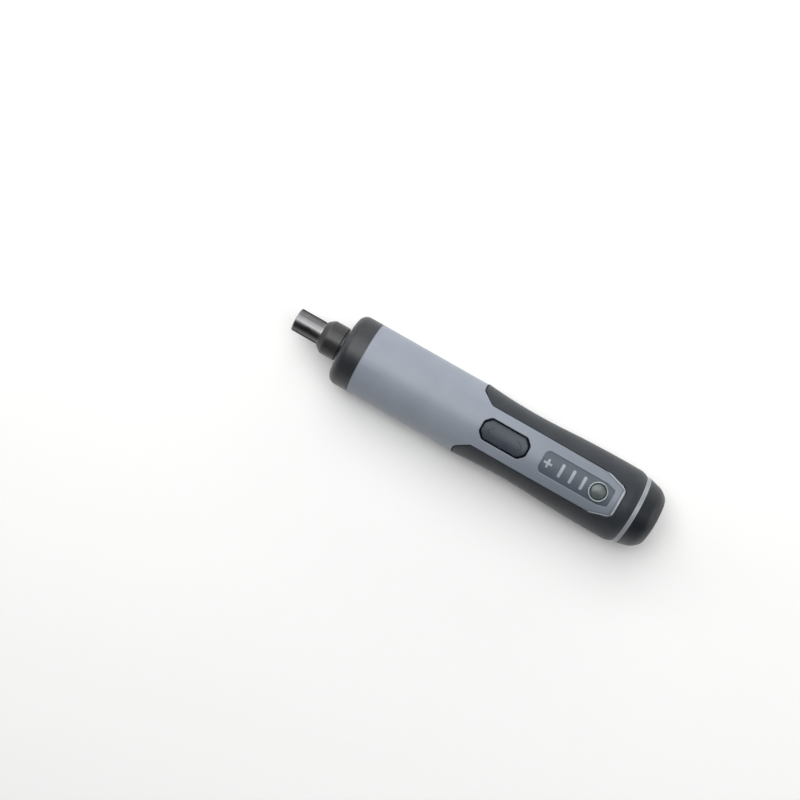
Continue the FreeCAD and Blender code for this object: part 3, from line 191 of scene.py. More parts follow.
def mouldedPlastic(name, look):
    make = mouldedMake
    f = Finish(name, {"IOR": look["ior"], "Coat Weight": look["coat"], "Coat Roughness": look["coatRough"]})
    clouds = f.noise(look["cloud"], detail=4.0, rough=0.6)
    grain = f.noise(look["grain"], detail=1.0)
    pulled = f.noise(look["streak"], detail=3.0, rough=0.6, vector=f.scaled(make["streakPull"]))
    streaks = f.step(pulled, *make["streakFrom"])
    tone = f.mix(f.step(clouds, *make["cloudFrom"]), look["tone"], look["toneToo"])
    if "tailShade" in look:  # painted shade: darker towards the tail end, from one place along the tool to another
        tone = f.mix(f.step(f.axes()[0], *look["tailShadeFrom"]), look["tailShade"], tone)
    worn = streaks * look["rub"]
    if "rims" in look:
        worn = worn + f.rimWear(look["rims"], look["rimWide"]) * look["rimRub"]
    if "lip" in look:  # a strip's end: a band of painted shade, then a painted highlight along the edge
        inside = f.insideEnd(look["lip"])
        tone = f.mix(f.step(inside, *look["endShadeFrom"]) * look["endShadeShare"], tone, look["endShade"])
        worn = worn + f.step(inside, *look["lipFrom"]) * look["lipRub"]
    # worn holds the rubbed streaks and, on the shell, the painted highlight along the tongue's end
    colour = f.mix(worn, tone, look["rubbed"])
    rough = look["rough"] + (clouds - 0.5) * look["roughSpread"] - worn * look["roughSpread"]
    height = grain + clouds * make["cloudBump"]
    return f.done(colour=colour, rough=rough, normal=f.bump(height, look["grainDepth"]))


# soft rubber: matt, a fine pebble of cells, paler where it is handled
rubberMake = {"ior": 1.45, "sheenRough": 0.5, "smooth": 0.6, "handledFrom": (0.35, 0.75), "handledRough": 0.08,
              "fineRough": 0.12, "fineBump": 0.35}


def softRubber(name, look):
    make = rubberMake
    f = Finish(name, {"IOR": make["ior"], "Sheen Weight": look["sheen"], "Sheen Roughness": make["sheenRough"]})
    cells = f.add("ShaderNodeTexVoronoi", {"feature": "SMOOTH_F1"}, {
        "Vector": f.place, "Scale": 1.0 / look["pebble"], "Smoothness": make["smooth"]})
    fine = f.noise(look["fine"])
    handled = f.step(f.noise(look["cloud"], detail=4.0, rough=0.65), *make["handledFrom"])
    colour = f.mix(handled * look["handling"], look["tone"], look["toneToo"])
    rough = look["rough"] + (fine - 0.5) * make["fineRough"] - handled * make["handledRough"]
    height = fine * make["fineBump"] - cells
    return f.done(colour=colour, rough=rough, normal=f.bump(height, look["pebbleDepth"]))


# turned metal: rings left by the cutter round the axis, faint smears, fine scratches along it
turnedMake = {"smearFrom": (0.25, 0.75), "scratch": 1.7, "scratchPull": (0.08, 1.0, 1.0), "scratchFrom": (0.66, 0.74),
              "scratchRough": 0.06, "scratchBump": 0.5}


def turnedMetal(name, look):
    make = turnedMake
    f = Finish(name, {"Metallic": 1.0, "Anisotropic": look["brushed"], "Specular Tint": look["edgeTint"]})
    rings = f.noise(look["ring"], rough=0.6, vector=f.lathePlace())
    smears = f.noise(look["smear"], detail=3.0, rough=0.6)
    pulled = f.noise(look["ring"] * make["scratch"], vector=f.scaled(make["scratchPull"]))
    scratch = f.step(pulled, *make["scratchFrom"])
    colour = f.mix(f.step(smears, *make["smearFrom"]), look["tone"], look["toneToo"])
    if "rims" in look:
        colour = f.mix(f.rimWear(look["rims"], look["rimWide"]) * look["rimRub"], colour, look["rubbed"])
    rough = look["rough"] + (rings - 0.5) * look["roughSpread"] + (smears - 0.5) * look["roughSpread"]
    rough = rough + scratch * make["scratchRough"]
    height = rings + scratch * make["scratchBump"]
    return f.done(colour=colour, rough=rough, normal=f.bump(height, look["ringDepth"]))


# pressed or sintered metal: speckled grains with darker pores
grainMake = {"poreLump": 2.0, "poreFrom": (0.62, 0.7), "grainRough": 0.12, "poreRough": 0.2, "grainBump": 0.4}


def grainyMetal(name, look):
    make = grainMake
    f = Finish(name, {"Metallic": look["metal"]})
    grains = f.add("ShaderNodeTexVoronoi", {"feature": "F1"}, {
        "Vector": f.place, "Scale": 1.0 / look["grain"]}, "Color")
    value = f.add("ShaderNodeSeparateColor", {}, {"Color": grains}, "Red")
    pores = f.step(f.noise(look["grain"] * make["poreLump"], detail=3.0, rough=0.6), *make["poreFrom"])
    colour = f.mix(pores, f.mix(value, look["tone"], look["toneToo"]), look["pore"])
    rough = look["rough"] + value * make["grainRough"] + pores * make["poreRough"]
    height = value * make["grainBump"] - pores
    return f.done(colour=colour, rough=rough, normal=f.bump(height, look["grainDepth"]))


# glossy moulding: clear-coated tint with dust specks and hairlines
glossMake = {"ior": 1.5, "coatRough": 0.04, "dustFrom": (0.7, 0.78), "dustShare": 0.35, "dustRough": 0.2, "hair": 2.0,
             "hairPull": (0.1, 1.0, 1.0), "hairFrom": (0.7, 0.76), "hairRough": 0.12}


def glossPlastic(name, look):
    make = glossMake
    f = Finish(name, {"IOR": make["ior"], "Coat Weight": look["coat"], "Coat Roughness": make["coatRough"]})
    clouds = f.noise(look["cloud"], detail=3.0, rough=0.6)
    dust = f.step(f.noise(look["dust"], detail=1.0), *make["dustFrom"])
    pulled = f.noise(look["dust"] * make["hair"], vector=f.scaled(make["hairPull"]))
    hairs = f.step(pulled, *make["hairFrom"])
    tone = f.mix(clouds, look["tone"], look["toneToo"])
    colour = f.mix(dust * make["dustShare"], tone, look["dusty"])
    rough = look["rough"] + dust * make["dustRough"] + hairs * make["hairRough"]
    return f.done(colour=colour, rough=rough, normal=f.bump(clouds, look["wave"]))


# striped make-up: laminations or windings, as bands along one axis; the wave node repeats in 0.314 over its scale
bandMake = {"wave": 0.314, "detail": 2.0, "detailScale": 1.5, "bandFrom": (0.1, 0.7), "soilRough": 0.2,
            "coatRough": 0.15}


def banded(name, look):
    make = bandMake
    f = Finish(name, {"Metallic": look["metal"], "Coat Weight": look["coat"], "Coat Roughness": make["coatRough"]})
    bands = f.add("ShaderNodeTexWave", {"wave_type": "BANDS", "bands_direction": look["along"]}, {
        "Vector": f.place, "Scale": make["wave"] / look["pitch"], "Distortion": look["wander"],
        "Detail": make["detail"], "Detail Scale": make["detailScale"]})
    soil = f.noise(look["soil"], detail=3.0, rough=0.6)
    tone = f.mix(soil, look["tone"], look["toneToo"])
    colour = f.mix(f.step(bands, *make["bandFrom"]), look["toneToo"], tone)
    rough = look["rough"] + (soil - 0.5) * make["soilRough"]
    return f.done(colour=colour, rough=rough, normal=f.bump(bands, look["bandDepth"]))


# circuit board: dark solder mask over raised traces, the edges of a cell pattern, with tinned pads
boardMake = {"ior": 1.5, "coat": 0.6, "coatRough": 0.12, "loose": 0.75, "traceFrom": (0.05, 0.09),
             "padFrom": (0.16, 0.2), "rough": 0.35, "padRough": 0.1}


def circuitBoard(name, look):
    make = boardMake
    f = Finish(name, {"IOR": make["ior"], "Coat Weight": make["coat"], "Coat Roughness": make["coatRough"]})
    cells = f.add("ShaderNodeTexVoronoi", {"feature": "DISTANCE_TO_EDGE", "distance": "EUCLIDEAN"}, {
        "Vector": f.place, "Scale": 1.0 / look["trace"], "Randomness": make["loose"]}, "Distance")
    traces = 1.0 - f.step(cells, *make["traceFrom"])
    dots = f.add("ShaderNodeTexVoronoi", {"feature": "F1"}, {
        "Vector": f.place, "Scale": 1.0 / look["pad"]}, "Distance")
    pads = 1.0 - f.step(dots, *make["padFrom"])
    colour = f.mix(pads, f.mix(traces, look["tone"], look["toneToo"]), look["tin"])
    rough = make["rough"] - pads * make["padRough"]
    return f.done(colour=colour, rough=rough, metal=pads, normal=f.bump(traces + pads, look["rise"]))


# the tongue's tail end, a margin behind the panel: half its width there, the slants' slope beside it, and how much
# tighter the painted highlight on the edge runs along them
tongueEnd = {"margin": 4.5 * mm, "half": 7.45 * mm, "slope": 0.321, "tight": 1.6}
tongueEnd["at"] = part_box("indicator_panel")[0].x - tongueEnd["margin"]

# two tones, what rubbing bares, sizes of the patterns in metres, and places along the tool where a finish changes
shellLook = {"ior": 1.5, "tone": fromScreen(133, 140, 151), "toneToo": fromScreen(139, 146, 157),
             # the pale edge colour here is a painted highlight on the tongue's end, and the darker band before it is
             # painted shade
             "rubbed": fromScreen(180, 186, 194), "lip": tongueEnd, "lipFrom": (1.15 * mm, 0.75 * mm), "lipRub": 0.9,
             "endShade": fromScreen(92, 98, 106), "endShadeFrom": (2.6 * mm, 1.7 * mm), "endShadeShare": 0.6,
             "rub": 0.09, "rough": 0.42, "roughSpread": 0.10, "cloud": 22 * mm, "grain": 0.28 * mm,
             "grainDepth": 0.012 * mm, "streak": 2.2 * mm, "coat": 0.0, "coatRough": 0.3,
             # painted shade: the shell darkens towards the tail
             "tailShade": fromScreen(119, 126, 136), "tailShadeFrom": (-160 * mm, -92 * mm)}
trimLook = {"ior": 1.5, "tone": fromScreen(35, 38, 42), "toneToo": fromScreen(41, 44, 48),
            "rubbed": fromScreen(70, 73, 78), "rub": 0.14, "rough": 0.40, "roughSpread": 0.12, "cloud": 15 * mm,
            "grain": 0.25 * mm, "grainDepth": 0.012 * mm, "streak": 1.8 * mm, "coat": 0.0, "coatRough": 0.3,
            # painted shade: the trim darkens towards the tail cap
            "tailShade": fromScreen(21, 26, 32), "tailShadeFrom": (-150 * mm, -60 * mm),
            "rims": (-27.6 * mm, -38.0 * mm, -187.8 * mm, -196.8 * mm), "rimWide": 0.6 * mm, "rimRub": 0.22}
rockerLook = {"ior": 1.5, "tone": fromScreen(44, 51, 62), "toneToo": fromScreen(50, 57, 68),
              "rubbed": fromScreen(80, 85, 93), "rub": 0.18, "rough": 0.46, "roughSpread": 0.14, "cloud": 7 * mm,
              "grain": 0.2 * mm, "grainDepth": 0.010 * mm, "streak": 1.4 * mm, "coat": 0.0, "coatRough": 0.3}
ringLook = {"ior": 1.5, "tone": fromScreen(130, 135, 141), "toneToo": fromScreen(138, 143, 148),
            "rubbed": fromScreen(190, 194, 198), "rub": 0.2, "rough": 0.32, "roughSpread": 0.10, "cloud": 9 * mm,
            "grain": 0.2 * mm, "grainDepth": 0.006 * mm, "streak": 1.2 * mm, "coat": 0.25, "coatRough": 0.2,
            "rims": (-185.7 * mm, -187.5 * mm), "rimWide": 0.35 * mm, "rimRub": 0.4}
noseLook = {"ior": 1.5, "tone": fromScreen(40, 40, 42), "toneToo": fromScreen(46, 46, 48),
            "rubbed": fromScreen(128, 128, 130), "rub": 0.22, "rough": 0.36, "roughSpread": 0.12, "cloud": 6 * mm,
            "grain": 0.22 * mm, "grainDepth": 0.010 * mm, "streak": 1.2 * mm, "coat": 0.0, "coatRough": 0.25,
            "rims": (-14.7 * mm, -17.5 * mm, -25.2 * mm), "rimWide": 0.45 * mm, "rimRub": 0.2}
nylonLook = {"ior": 1.5, "tone": fromScreen(221, 216, 203), "toneToo": fromScreen(212, 206, 190),
             "rubbed": fromScreen(235, 232, 224), "rub": 0.3, "rough": 0.45, "roughSpread": 0.1, "cloud": 3 * mm,
             "grain": 0.12 * mm, "grainDepth": 0.006 * mm, "streak": 0.8 * mm, "coat": 0.0, "coatRough": 0.3}
caseLook = {**nylonLook, "tone": fromScreen(66, 66, 69), "toneToo": fromScreen(73, 73, 76), "cloud": 5 * mm,
            "rubbed": fromScreen(96, 96, 99)}
bellLook = {**nylonLook, "tone": fromScreen(197, 195, 188), "toneToo": fromScreen(187, 185, 177), "cloud": 6 * mm}
# near black, with a low IOR that dims its gloss: painted shade where this finish fills the switch's gap
switchGapShadeLook = {**rockerLook, "ior": 1.2, "tone": fromScreen(7, 11, 19), "toneToo": fromScreen(11, 15, 24),
              "cloud": 2 * mm, "rubbed": fromScreen(30, 31, 34), "rough": 0.6}
redLeadLook = {**rockerLook, "tone": fromScreen(178, 44, 40), "toneToo": fromScreen(164, 38, 36), "cloud": 2 * mm,
               "rubbed": fromScreen(205, 90, 84)}
blackLeadLook = {**rockerLook, "tone": fromScreen(38, 38, 39), "toneToo": fromScreen(45, 45, 46), "cloud": 2 * mm}
jacketLook = {**nylonLook, "tone": fromScreen(52, 116, 168), "toneToo": fromScreen(48, 106, 156), "coat": 0.5,
              "rubbed": fromScreen(104, 150, 190), "cloud": 12 * mm}

gripLook = {"tone": fromScreen(31, 36, 42), "toneToo": fromScreen(45, 51, 57), "handling": 0.55, "rough": 0.56,
            "sheen": 0.06, "pebble": 0.55 * mm, "pebbleDepth": 0.03 * mm, "fine": 0.16 * mm, "cloud": 26 * mm}

spindleLook = {"tone": fromScreen(150, 150, 152), "toneToo": fromScreen(166, 166, 168), "rough": 0.32,
               "edgeTint": (0.8, 0.8, 0.8, 1.0), "roughSpread": 0.10, "ring": 0.10 * mm, "ringDepth": 0.006 * mm,
               "smear": 5 * mm, "brushed": 0.35}
# the sleeve's edge tint is near black, which dims its grazing reflections: painted shade at its edges
sleeveLook = {**spindleLook, "tone": fromScreen(105, 105, 107), "toneToo": fromScreen(117, 117, 118), "rough": 0.30,
              "edgeTint": (0.1, 0.1, 0.1, 1.0), "rims": (-0.3 * mm, -14.3 * mm), "rimWide": 0.5 * mm, "rimRub": 0.5,
              "rubbed": fromScreen(176, 176, 178)}
screwLook = {**spindleLook, "tone": fromScreen(128, 128, 131), "toneToo": fromScreen(146, 146, 148), "rough": 0.34}
pinLook = {**spindleLook, "tone": fromScreen(112, 112, 115), "toneToo": fromScreen(126, 126, 128), "rough": 0.3}
magnetLook = {**spindleLook, "tone": fromScreen(198, 198, 200), "toneToo": fromScreen(210, 210, 211), "rough": 0.22}
canLook = {**spindleLook, "tone": fromScreen(172, 172, 174), "toneToo": fromScreen(186, 186, 186), "rough": 0.3}
bezelLook = {**spindleLook, "tone": fromScreen(148, 155, 158), "toneToo": fromScreen(158, 165, 168), "rough": 0.5}
brassLook = {**spindleLook, "tone": fromScreen(204, 180, 116), "toneToo": fromScreen(190, 164, 100), "rough": 0.3}
tabLook = {**spindleLook, "tone": fromScreen(194, 192, 185), "toneToo": fromScreen(204, 202, 196), "rough": 0.3}
portLook = {**spindleLook, "tone": fromScreen(188, 188, 190), "toneToo": fromScreen(198, 198, 199), "rough": 0.26}

bronzeLook = {"metal": 0.9, "tone": fromScreen(178, 148, 104), "toneToo": fromScreen(162, 130, 84),
              "pore": fromScreen(84, 66, 44), "rough": 0.38, "grain": 0.12 * mm, "grainDepth": 0.008 * mm}
sinteredLook = {**bronzeLook, "tone": fromScreen(128, 128, 131), "toneToo": fromScreen(112, 112, 116),
                "pore": fromScreen(58, 58, 61)}
ferriteLook = {**bronzeLook, "metal": 0.1, "tone": fromScreen(62, 62, 65), "toneToo": fromScreen(72, 72, 75),
               "pore": fromScreen(40, 40, 42), "rough": 0.5}
carbonLook = {**ferriteLook, "tone": fromScreen(46, 46, 48), "toneToo": fromScreen(58, 58, 60)}

panelLook = {"tone": fromScreen(69, 77, 87), "toneToo": fromScreen(75, 83, 93), "dusty": fromScreen(128, 132, 140),
             "rough": 0.5, "cloud": 8 * mm, "dust": 0.4 * mm, "wave": 0.01 * mm, "coat": 0.04}
guideLook = {**panelLook, "tone": fromScreen(144, 151, 162), "toneToo": fromScreen(152, 158, 169), "rough": 0.34,
             "coat": 0.08}
domeLook = {**panelLook, "tone": fromScreen(64, 73, 74), "toneToo": fromScreen(80, 89, 89), "rough": 0.30,
            "cloud": 3 * mm, "coat": 0.3}
lampLook = {**panelLook, "tone": fromScreen(226, 226, 214), "toneToo": fromScreen(236, 236, 228), "rough": 0.2}

copperLook = {"metal": 0.9, "coat": 0.4, "along": "Y", "pitch": 0.32 * mm, "wander": 0.6, "soil": 2.5 * mm,
              "tone": fromScreen(206, 128, 84), "toneToo": fromScreen(142, 76, 44), "rough": 0.3,
              "bandDepth": 0.05 * mm}
ironLook = {**copperLook, "coat": 0.0, "along": "X", "pitch": 0.5 * mm, "wander": 0.1,
            "tone": fromScreen(122, 122, 126), "toneToo": fromScreen(78, 78, 82), "bandDepth": 0.02 * mm}

boardLook = {"tone": fromScreen(24, 25, 28), "toneToo": fromScreen(34, 36, 40), "tin": fromScreen(132, 132, 129),
             "trace": 2.4 * mm, "pad": 3.4 * mm, "rise": 0.03 * mm}

finishes = {
    "shell_grey": mouldedPlastic("shellGrey", shellLook),
    "trim_black": mouldedPlastic("trimBlack", trimLook),
    "rocker_black": mouldedPlastic("rockerBlack", rockerLook),
    "grip_rubber": softRubber("gripRubber", gripLook),
    "ring_grey": mouldedPlastic("ringGrey", ringLook),
    "nose_grey": mouldedPlastic("noseGrey", noseLook),
    "sleeve_steel": turnedMetal("sleeveSteel", sleeveLook),
    "spindle_steel": turnedMetal("spindleSteel", spindleLook),
    "screw_steel": turnedMetal("screwSteel", screwLook),
    "pin_steel": turnedMetal("pinSteel", pinLook),
    "magnet_plate": turnedMetal("magnetPlate", magnetLook),
    "sintered_bronze": grainyMetal("sinteredBronze", bronzeLook),
    "sintered_steel": grainyMetal("sinteredSteel", sinteredLook),
    "gear_nylon": mouldedPlastic("gearNylon", nylonLook),
    "case_nylon": mouldedPlastic("caseNylon", caseLook),
    "can_steel": turnedMetal("canSteel", canLook),
    "bell_nylon": mouldedPlastic("bellNylon", bellLook),
    "ferrite": grainyMetal("ferrite", ferriteLook),
    "copper": banded("copper", copperLook),
    "terminal_brass": turnedMetal("terminalBrass", brassLook),
    "brush_carbon": grainyMetal("brushCarbon", carbonLook),
    "laminated_iron": banded("laminatedIron", ironLook),
    "lead_red": mouldedPlastic("leadRed", redLeadLook),
    "lead_black": mouldedPlastic("leadBlack", blackLeadLook),
    "panel_gloss": glossPlastic("panelGloss", panelLook),
    "light_white": glossPlastic("lightWhite", guideLook),
    "bezel_chrome": turnedMetal("bezelChrome", bezelLook),
    "mode_gloss": glossPlastic("modeGloss", domeLook),
    "board_black": circuitBoard("boardBlack", boardLook),
    "switch_black": mouldedPlastic("switchBlack", switchGapShadeLook),
    "lamp_white": glossPlastic("lampWhite", lampLook),
    "cell_jacket": mouldedPlastic("cellJacket", jacketLook),
    "tab_nickel": turnedMetal("tabNickel", tabLook),
    "port_steel": turnedMetal("portSteel", portLook),
}
for node in nodes.values():
    for holder in node.material_slots:
        holder.material = finishes[holder.material.name]
print("finishes:", len(finishes))


# a mesh from whole arrays, smooth but for corners sharper than the angle
def meshPiece(name, points, faces, finish, sharpAngle=40):
    mesh = bpy.data.meshes.new(name)
    mesh.from_pydata(points.tolist(), [], faces)
    mesh.polygons.foreach_set("use_smooth", np.ones(len(mesh.polygons), bool))
    mesh.set_sharp_from_angle(angle=math.radians(sharpAngle))
    mesh.update()
    mesh.materials.append(finish)
    piece = bpy.data.objects.new(name, mesh)
    bpy.context.scene.collection.objects.link(piece)
    return piece


# a piece of the tool: which body carries it, which slot it takes its finish from, which node it stands for
def toolPiece(name, skins, slotName, body, node=None):
    starts = np.cumsum([0] + [len(points) for points, sheets in skins[:-1]])
    faces = [face for start, skin in zip(starts, skins) for sheet in skin[1] for face in (sheet + start).tolist()]
    piece = meshPiece(name, np.vstack([points for points, sheets in skins]) * mm, faces, finishes[slotName])
    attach(piece, body)
    if node:
        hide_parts(node)


# closed skin over rings of points (rows, turns, 3): fans to the two end points, or the last row back to the first
def ringSkin(rings, ends=None):
    rows, turns = rings.shape[:2]
    index = np.arange(rows * turns).reshape(rows, turns)
    if ends is None:
        index = np.vstack([index, index[:1]])
    ahead = np.roll(index, -1, 1)
    quads = np.stack([index[:-1], index[1:], ahead[1:], ahead[:-1]], 2).reshape(-1, 4)
    if ends is None:
        return rings.reshape(-1, 3), [quads]
    tips = np.full(turns, rows * turns)
    fans = [np.stack([tips, index[0], ahead[0]], 1), np.stack([tips + 1, ahead[-1], index[-1]], 1)]
    return np.vstack([rings.reshape(-1, 3), ends]), [quads] + fans


# rings of a turned form: radius and height down the profile, carried round an upright axis through the centre
def turnedRings(profile, centre, turns=96):
    angle = np.linspace(0, 2 * math.pi, turns, endpoint=False)
    radius, height = np.array(profile, float).T[..., None]
    return np.dstack([centre[0] + radius * np.cos(angle), centre[1] + radius * np.sin(angle),
                      height + np.zeros_like(angle)])


# arc from one angle to another, as points at the angle's cosine and sine
def arcPoints(middle, radius, start, end, steps):
    angle = np.radians(np.linspace(start, end, steps))
    return np.stack([middle[0] + radius * np.cos(angle), middle[1] + radius * np.sin(angle)], 1)


# outline with rounded corners, anticlockwise, and its outward normals: each corner is an arc as long as the turn
# there, tangent at radius times the half turn's tangent, with points shared out along the straight runs between
def roundedOutline(corners, radius, arcSteps, runSteps):
    corners = np.array(corners, float)
    ahead = np.roll(corners, -1, 0) - corners
    ahead = ahead / np.linalg.norm(ahead, axis=1)[:, None]
    before = np.roll(ahead, 1, 0)
    heading = np.arctan2(before[:, 1], before[:, 0])
    turn = np.arctan2(before[:, 0] * ahead[:, 1] - before[:, 1] * ahead[:, 0], (before * ahead).sum(1))
    left = np.stack([-before[:, 1], before[:, 0]], 1)
    side = np.sign(turn)[:, None] * radius
    middle = corners - before * np.abs(side) * np.tan(np.abs(turn) / 2)[:, None] + left * side
    normalAngle = heading[:, None] - math.pi / 2 + turn[:, None] * np.linspace(0, 1, arcSteps)
    normal = np.stack([np.cos(normalAngle), np.sin(normalAngle)], 2)
    arc = middle[:, None] + normal * side[:, None]
    share = np.linspace(0, 1, runSteps + 2)[1:-1, None]
    run = arc[:, -1:] * (1 - share) + np.roll(arc[:, 0], -1, 0)[:, None] * share
    runNormal = np.repeat(normal[:, -1:], runSteps, 1)
    return (np.concatenate([arc, run], 1).reshape(-1, 2), np.concatenate([normal, runNormal], 1).reshape(-1, 2))


onTop = np.nan  # the level of a row that follows the top surface


# rings of a pad: the outline set in and scaled row by row, at a drop below the top surface or at a fixed level
def padRings(outline, outward, rows, top):
    inset, scale, drop, level = np.array(rows, float).T[..., None]
    plan = (outline - outward * inset[..., None]) * scale[..., None]
    height = np.where(np.isnan(level), top(plan[..., 0], plan[..., 1]) - drop, level)
    return np.dstack([plan, height])


# quads of a grid of rows by columns
def gridFaces(rows, columns):
    corner = (np.arange(rows - 1)[:, None] * columns + np.arange(columns - 1)).ravel()
    return np.stack([corner, corner + 1, corner + columns + 1, corner + columns], 1)


# what the switch and its seal share, in millimetres
switchPlan = {"corner": 3.0, "cornerRound": 2.3, "barrelRadius": 18.5}


# the switch's octagon in plan: half length, half width and the corner's cut, each corner rounded
def rockerOutline(size):
    low, high = [np.array(c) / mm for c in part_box("rocker_button")]
    halfLong, halfWide, cut = (high[0] - low[0]) / 2, high[1], size["corner"]
    quarter = [(halfLong, halfWide - cut), (halfLong - cut, halfWide)]
    half = quarter + [(-x, y) for x, y in reversed(quarter)]
    return roundedOutline(half + [(-x, -y) for x, y in half], size["cornerRound"], arcSteps=9, runSteps=12)


# rocker switch: an octagon pad, crowned across and dipped along, with a rolled edge, a hollow underside, a hub on the
# pin, two nubs over the switches and a raised arrowhead at each end; sizes in millimetres
rockerSize = {**switchPlan, "dip": 0.4, "crownRadius": 14.0, "inset": 0.25, "edge": 0.65, "underside": 2.4,
              "footRise": 0.2, "footRound": 0.15, "sideWall": 1.2, "hollow": 0.4, "pinDepth": 3.3,
              "hub": (1.65, 0.78, 4.6),  # outer radius, bore, half length
              "nub": (1.2, 8.16, 0.15), "nubRoot": 0.8, "nubBevel": 0.1,  # radius, place off the middle, reach
              "arrowAt": 9.2, "arrowHalf": 2.3, "arrowSlope": 1.27, "arrowRound": 0.3,
              "beadWide": 0.34, "beadHigh": 0.16, "beadReach": 0.999, "beadEnd": 10, "beadSteps": 41, "beadTurns": 20,
              "poleShare": 0.03, "topRows": 40, "rollSteps": 10}


def rockerSwitch(size):
    low, high = [np.array(c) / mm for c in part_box("rocker_button")]
    middle = (low + high) / 2
    halfLong, crown = high[0] - middle[0], size["crownRadius"]
    bottom = size["barrelRadius"] - size["underside"]

    # a saddle: the round across falls away from the middle line, the dip along is deepest at the middle
    def topHeight(x, y):
        return high[2] - crown + np.sqrt(crown ** 2 - y ** 2) - size["dip"] * (1 - (x / halfLong) ** 2)

    outline, outward = rockerOutline(size)
    outline = outline - outward * size["inset"]
    edge, wall, roof = size["edge"], size["sideWall"], bottom + size["hollow"]
    roll = np.radians(np.linspace(0, 90, size["rollSteps"]))[1:]
    rows = [(edge, share, 0, onTop) for share in np.linspace(size["poleShare"], 1, size["topRows"])]
    rows += [(edge * (1 - math.sin(a)), 1, edge * (1 - math.cos(a)), onTop) for a in roll]
    rows += [(0, 1, 0, bottom + size["footRise"]), (size["footRound"], 1, 0, bottom), (wall, 1, 0, bottom),
             (wall, 1, 0, roof), (wall, size["poleShare"], 0, roof)]
    pad = padRings(outline, outward, rows, topHeight)
    skins = [ringSkin(pad, [(0, 0, float(topHeight(0.0, 0.0))), (0, 0, roof)])]

    hubRadius, bore, hubHalf = size["hub"]
    hubProfile = [(bore, -hubHalf), (bore, hubHalf), (hubRadius, hubHalf), (hubRadius, -hubHalf)]
    hub = turnedRings(hubProfile, (0, 0), turns=48)
    hub = np.dstack([hub[..., 0], -hub[..., 2], hub[..., 1] + size["barrelRadius"] - size["pinDepth"]])
    skins.append(ringSkin(hub))
    nubRadius, nubAt, nubReach = size["nub"]
    root, tip, bevel = bottom + size["nubRoot"], bottom - nubReach, size["nubBevel"]
    for at in (-nubAt, nubAt):
        nub = turnedRings([(nubRadius, root), (nubRadius, tip + bevel), (nubRadius - bevel, tip)], (at, 0), turns=32)
        skins.append(ringSkin(nub, [(at, 0, root), (at, 0, tip)]))

    # an elliptical bead half sunk in the top, along a path that falls back from its tip by the slope times the root
    # of y squared plus the tip's round squared
    t = np.sin(np.linspace(-1, 1, size["beadSteps"]) * math.pi / 2) * size["beadReach"]
    for way in (-1, 1):
        y = size["arrowHalf"] * t
        x = way * (size["arrowAt"] - size["arrowSlope"] * np.sqrt(y ** 2 + size["arrowRound"] ** 2))
        path = np.stack([x, y], 1)
        heading = np.gradient(path, axis=0)
        heading = heading / np.linalg.norm(heading, axis=1)[:, None]
        across = np.stack([heading[:, 1], -heading[:, 0]], 1)
        swell = np.sqrt(1 - t ** size["beadEnd"])[:, None]
        turn = np.linspace(0, 2 * math.pi, size["beadTurns"], endpoint=False)
        plan = path[:, None] + across[:, None] * (swell * np.cos(turn) * size["beadWide"])[..., None]
        height = topHeight(plan[..., 0], plan[..., 1]) + swell * np.sin(turn) * size["beadHigh"]
        tips = np.column_stack([path[[0, -1]], topHeight(path[[0, -1], 0], path[[0, -1], 1])])
        skins.append(ringSkin(np.dstack([plan, height])[:, ::-1], tips))
    shift = np.array([middle[0], 0, 0])
    toolPiece("rockerSwitch", [(points + shift, sheets) for points, sheets in skins], "rocker_black", "rocker",
              "rocker_button")


rockerSwitch(rockerSize)

# rubber seal round the switch, near black so that it paints the gap's shade: in the gap, against the pocket's wall
# and sunk below the barrel's round
gapShadeSealSize = {**switchPlan, "outer": 0.7, "inner": -0.05, "sunk": 0.9, "foot": 16.0}


def gapShadeSeal(size):
    low, high = [np.array(c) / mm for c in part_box("rocker_button")]
    outline, outward = rockerOutline(size)
    wide = (size["outer"] - size["inner"]) / 2
    lip = arcPoints((-(size["outer"] + size["inner"]) / 2, -size["sunk"]), wide, start=0, end=180, steps=9)
    rows = [(-size["inner"], 1, 0, size["foot"])] + [(inset, 1, -rise, onTop) for inset, rise in lip]
    rows += [(-size["outer"], 1, 0, size["foot"])]
    rings = padRings(outline, outward, rows, lambda x, y: np.sqrt(size["barrelRadius"] ** 2 - y ** 2))
    points, sheets = ringSkin(rings)
    toolPiece("gapShadeSeal", [(points + np.array([(low[0] + high[0]) / 2, 0, 0]), sheets)], "switch_black", "housing")


gapShadeSeal(gapShadeSealSize)

# round button: a dome of one radius that rolls over at its rim, with the flange and stem below; sizes in millimetres
buttonSize = {"radius": 3.95, "domeRise": 0.3, "domeSteps": 16, "pole": 0.1, "roll": 1.2, "rollFrom": 84,
              "rollSteps": 12, "stem": 1.4, "flange": (4.9, 15.0, 14.4)}  # flange: radius, upper and lower level


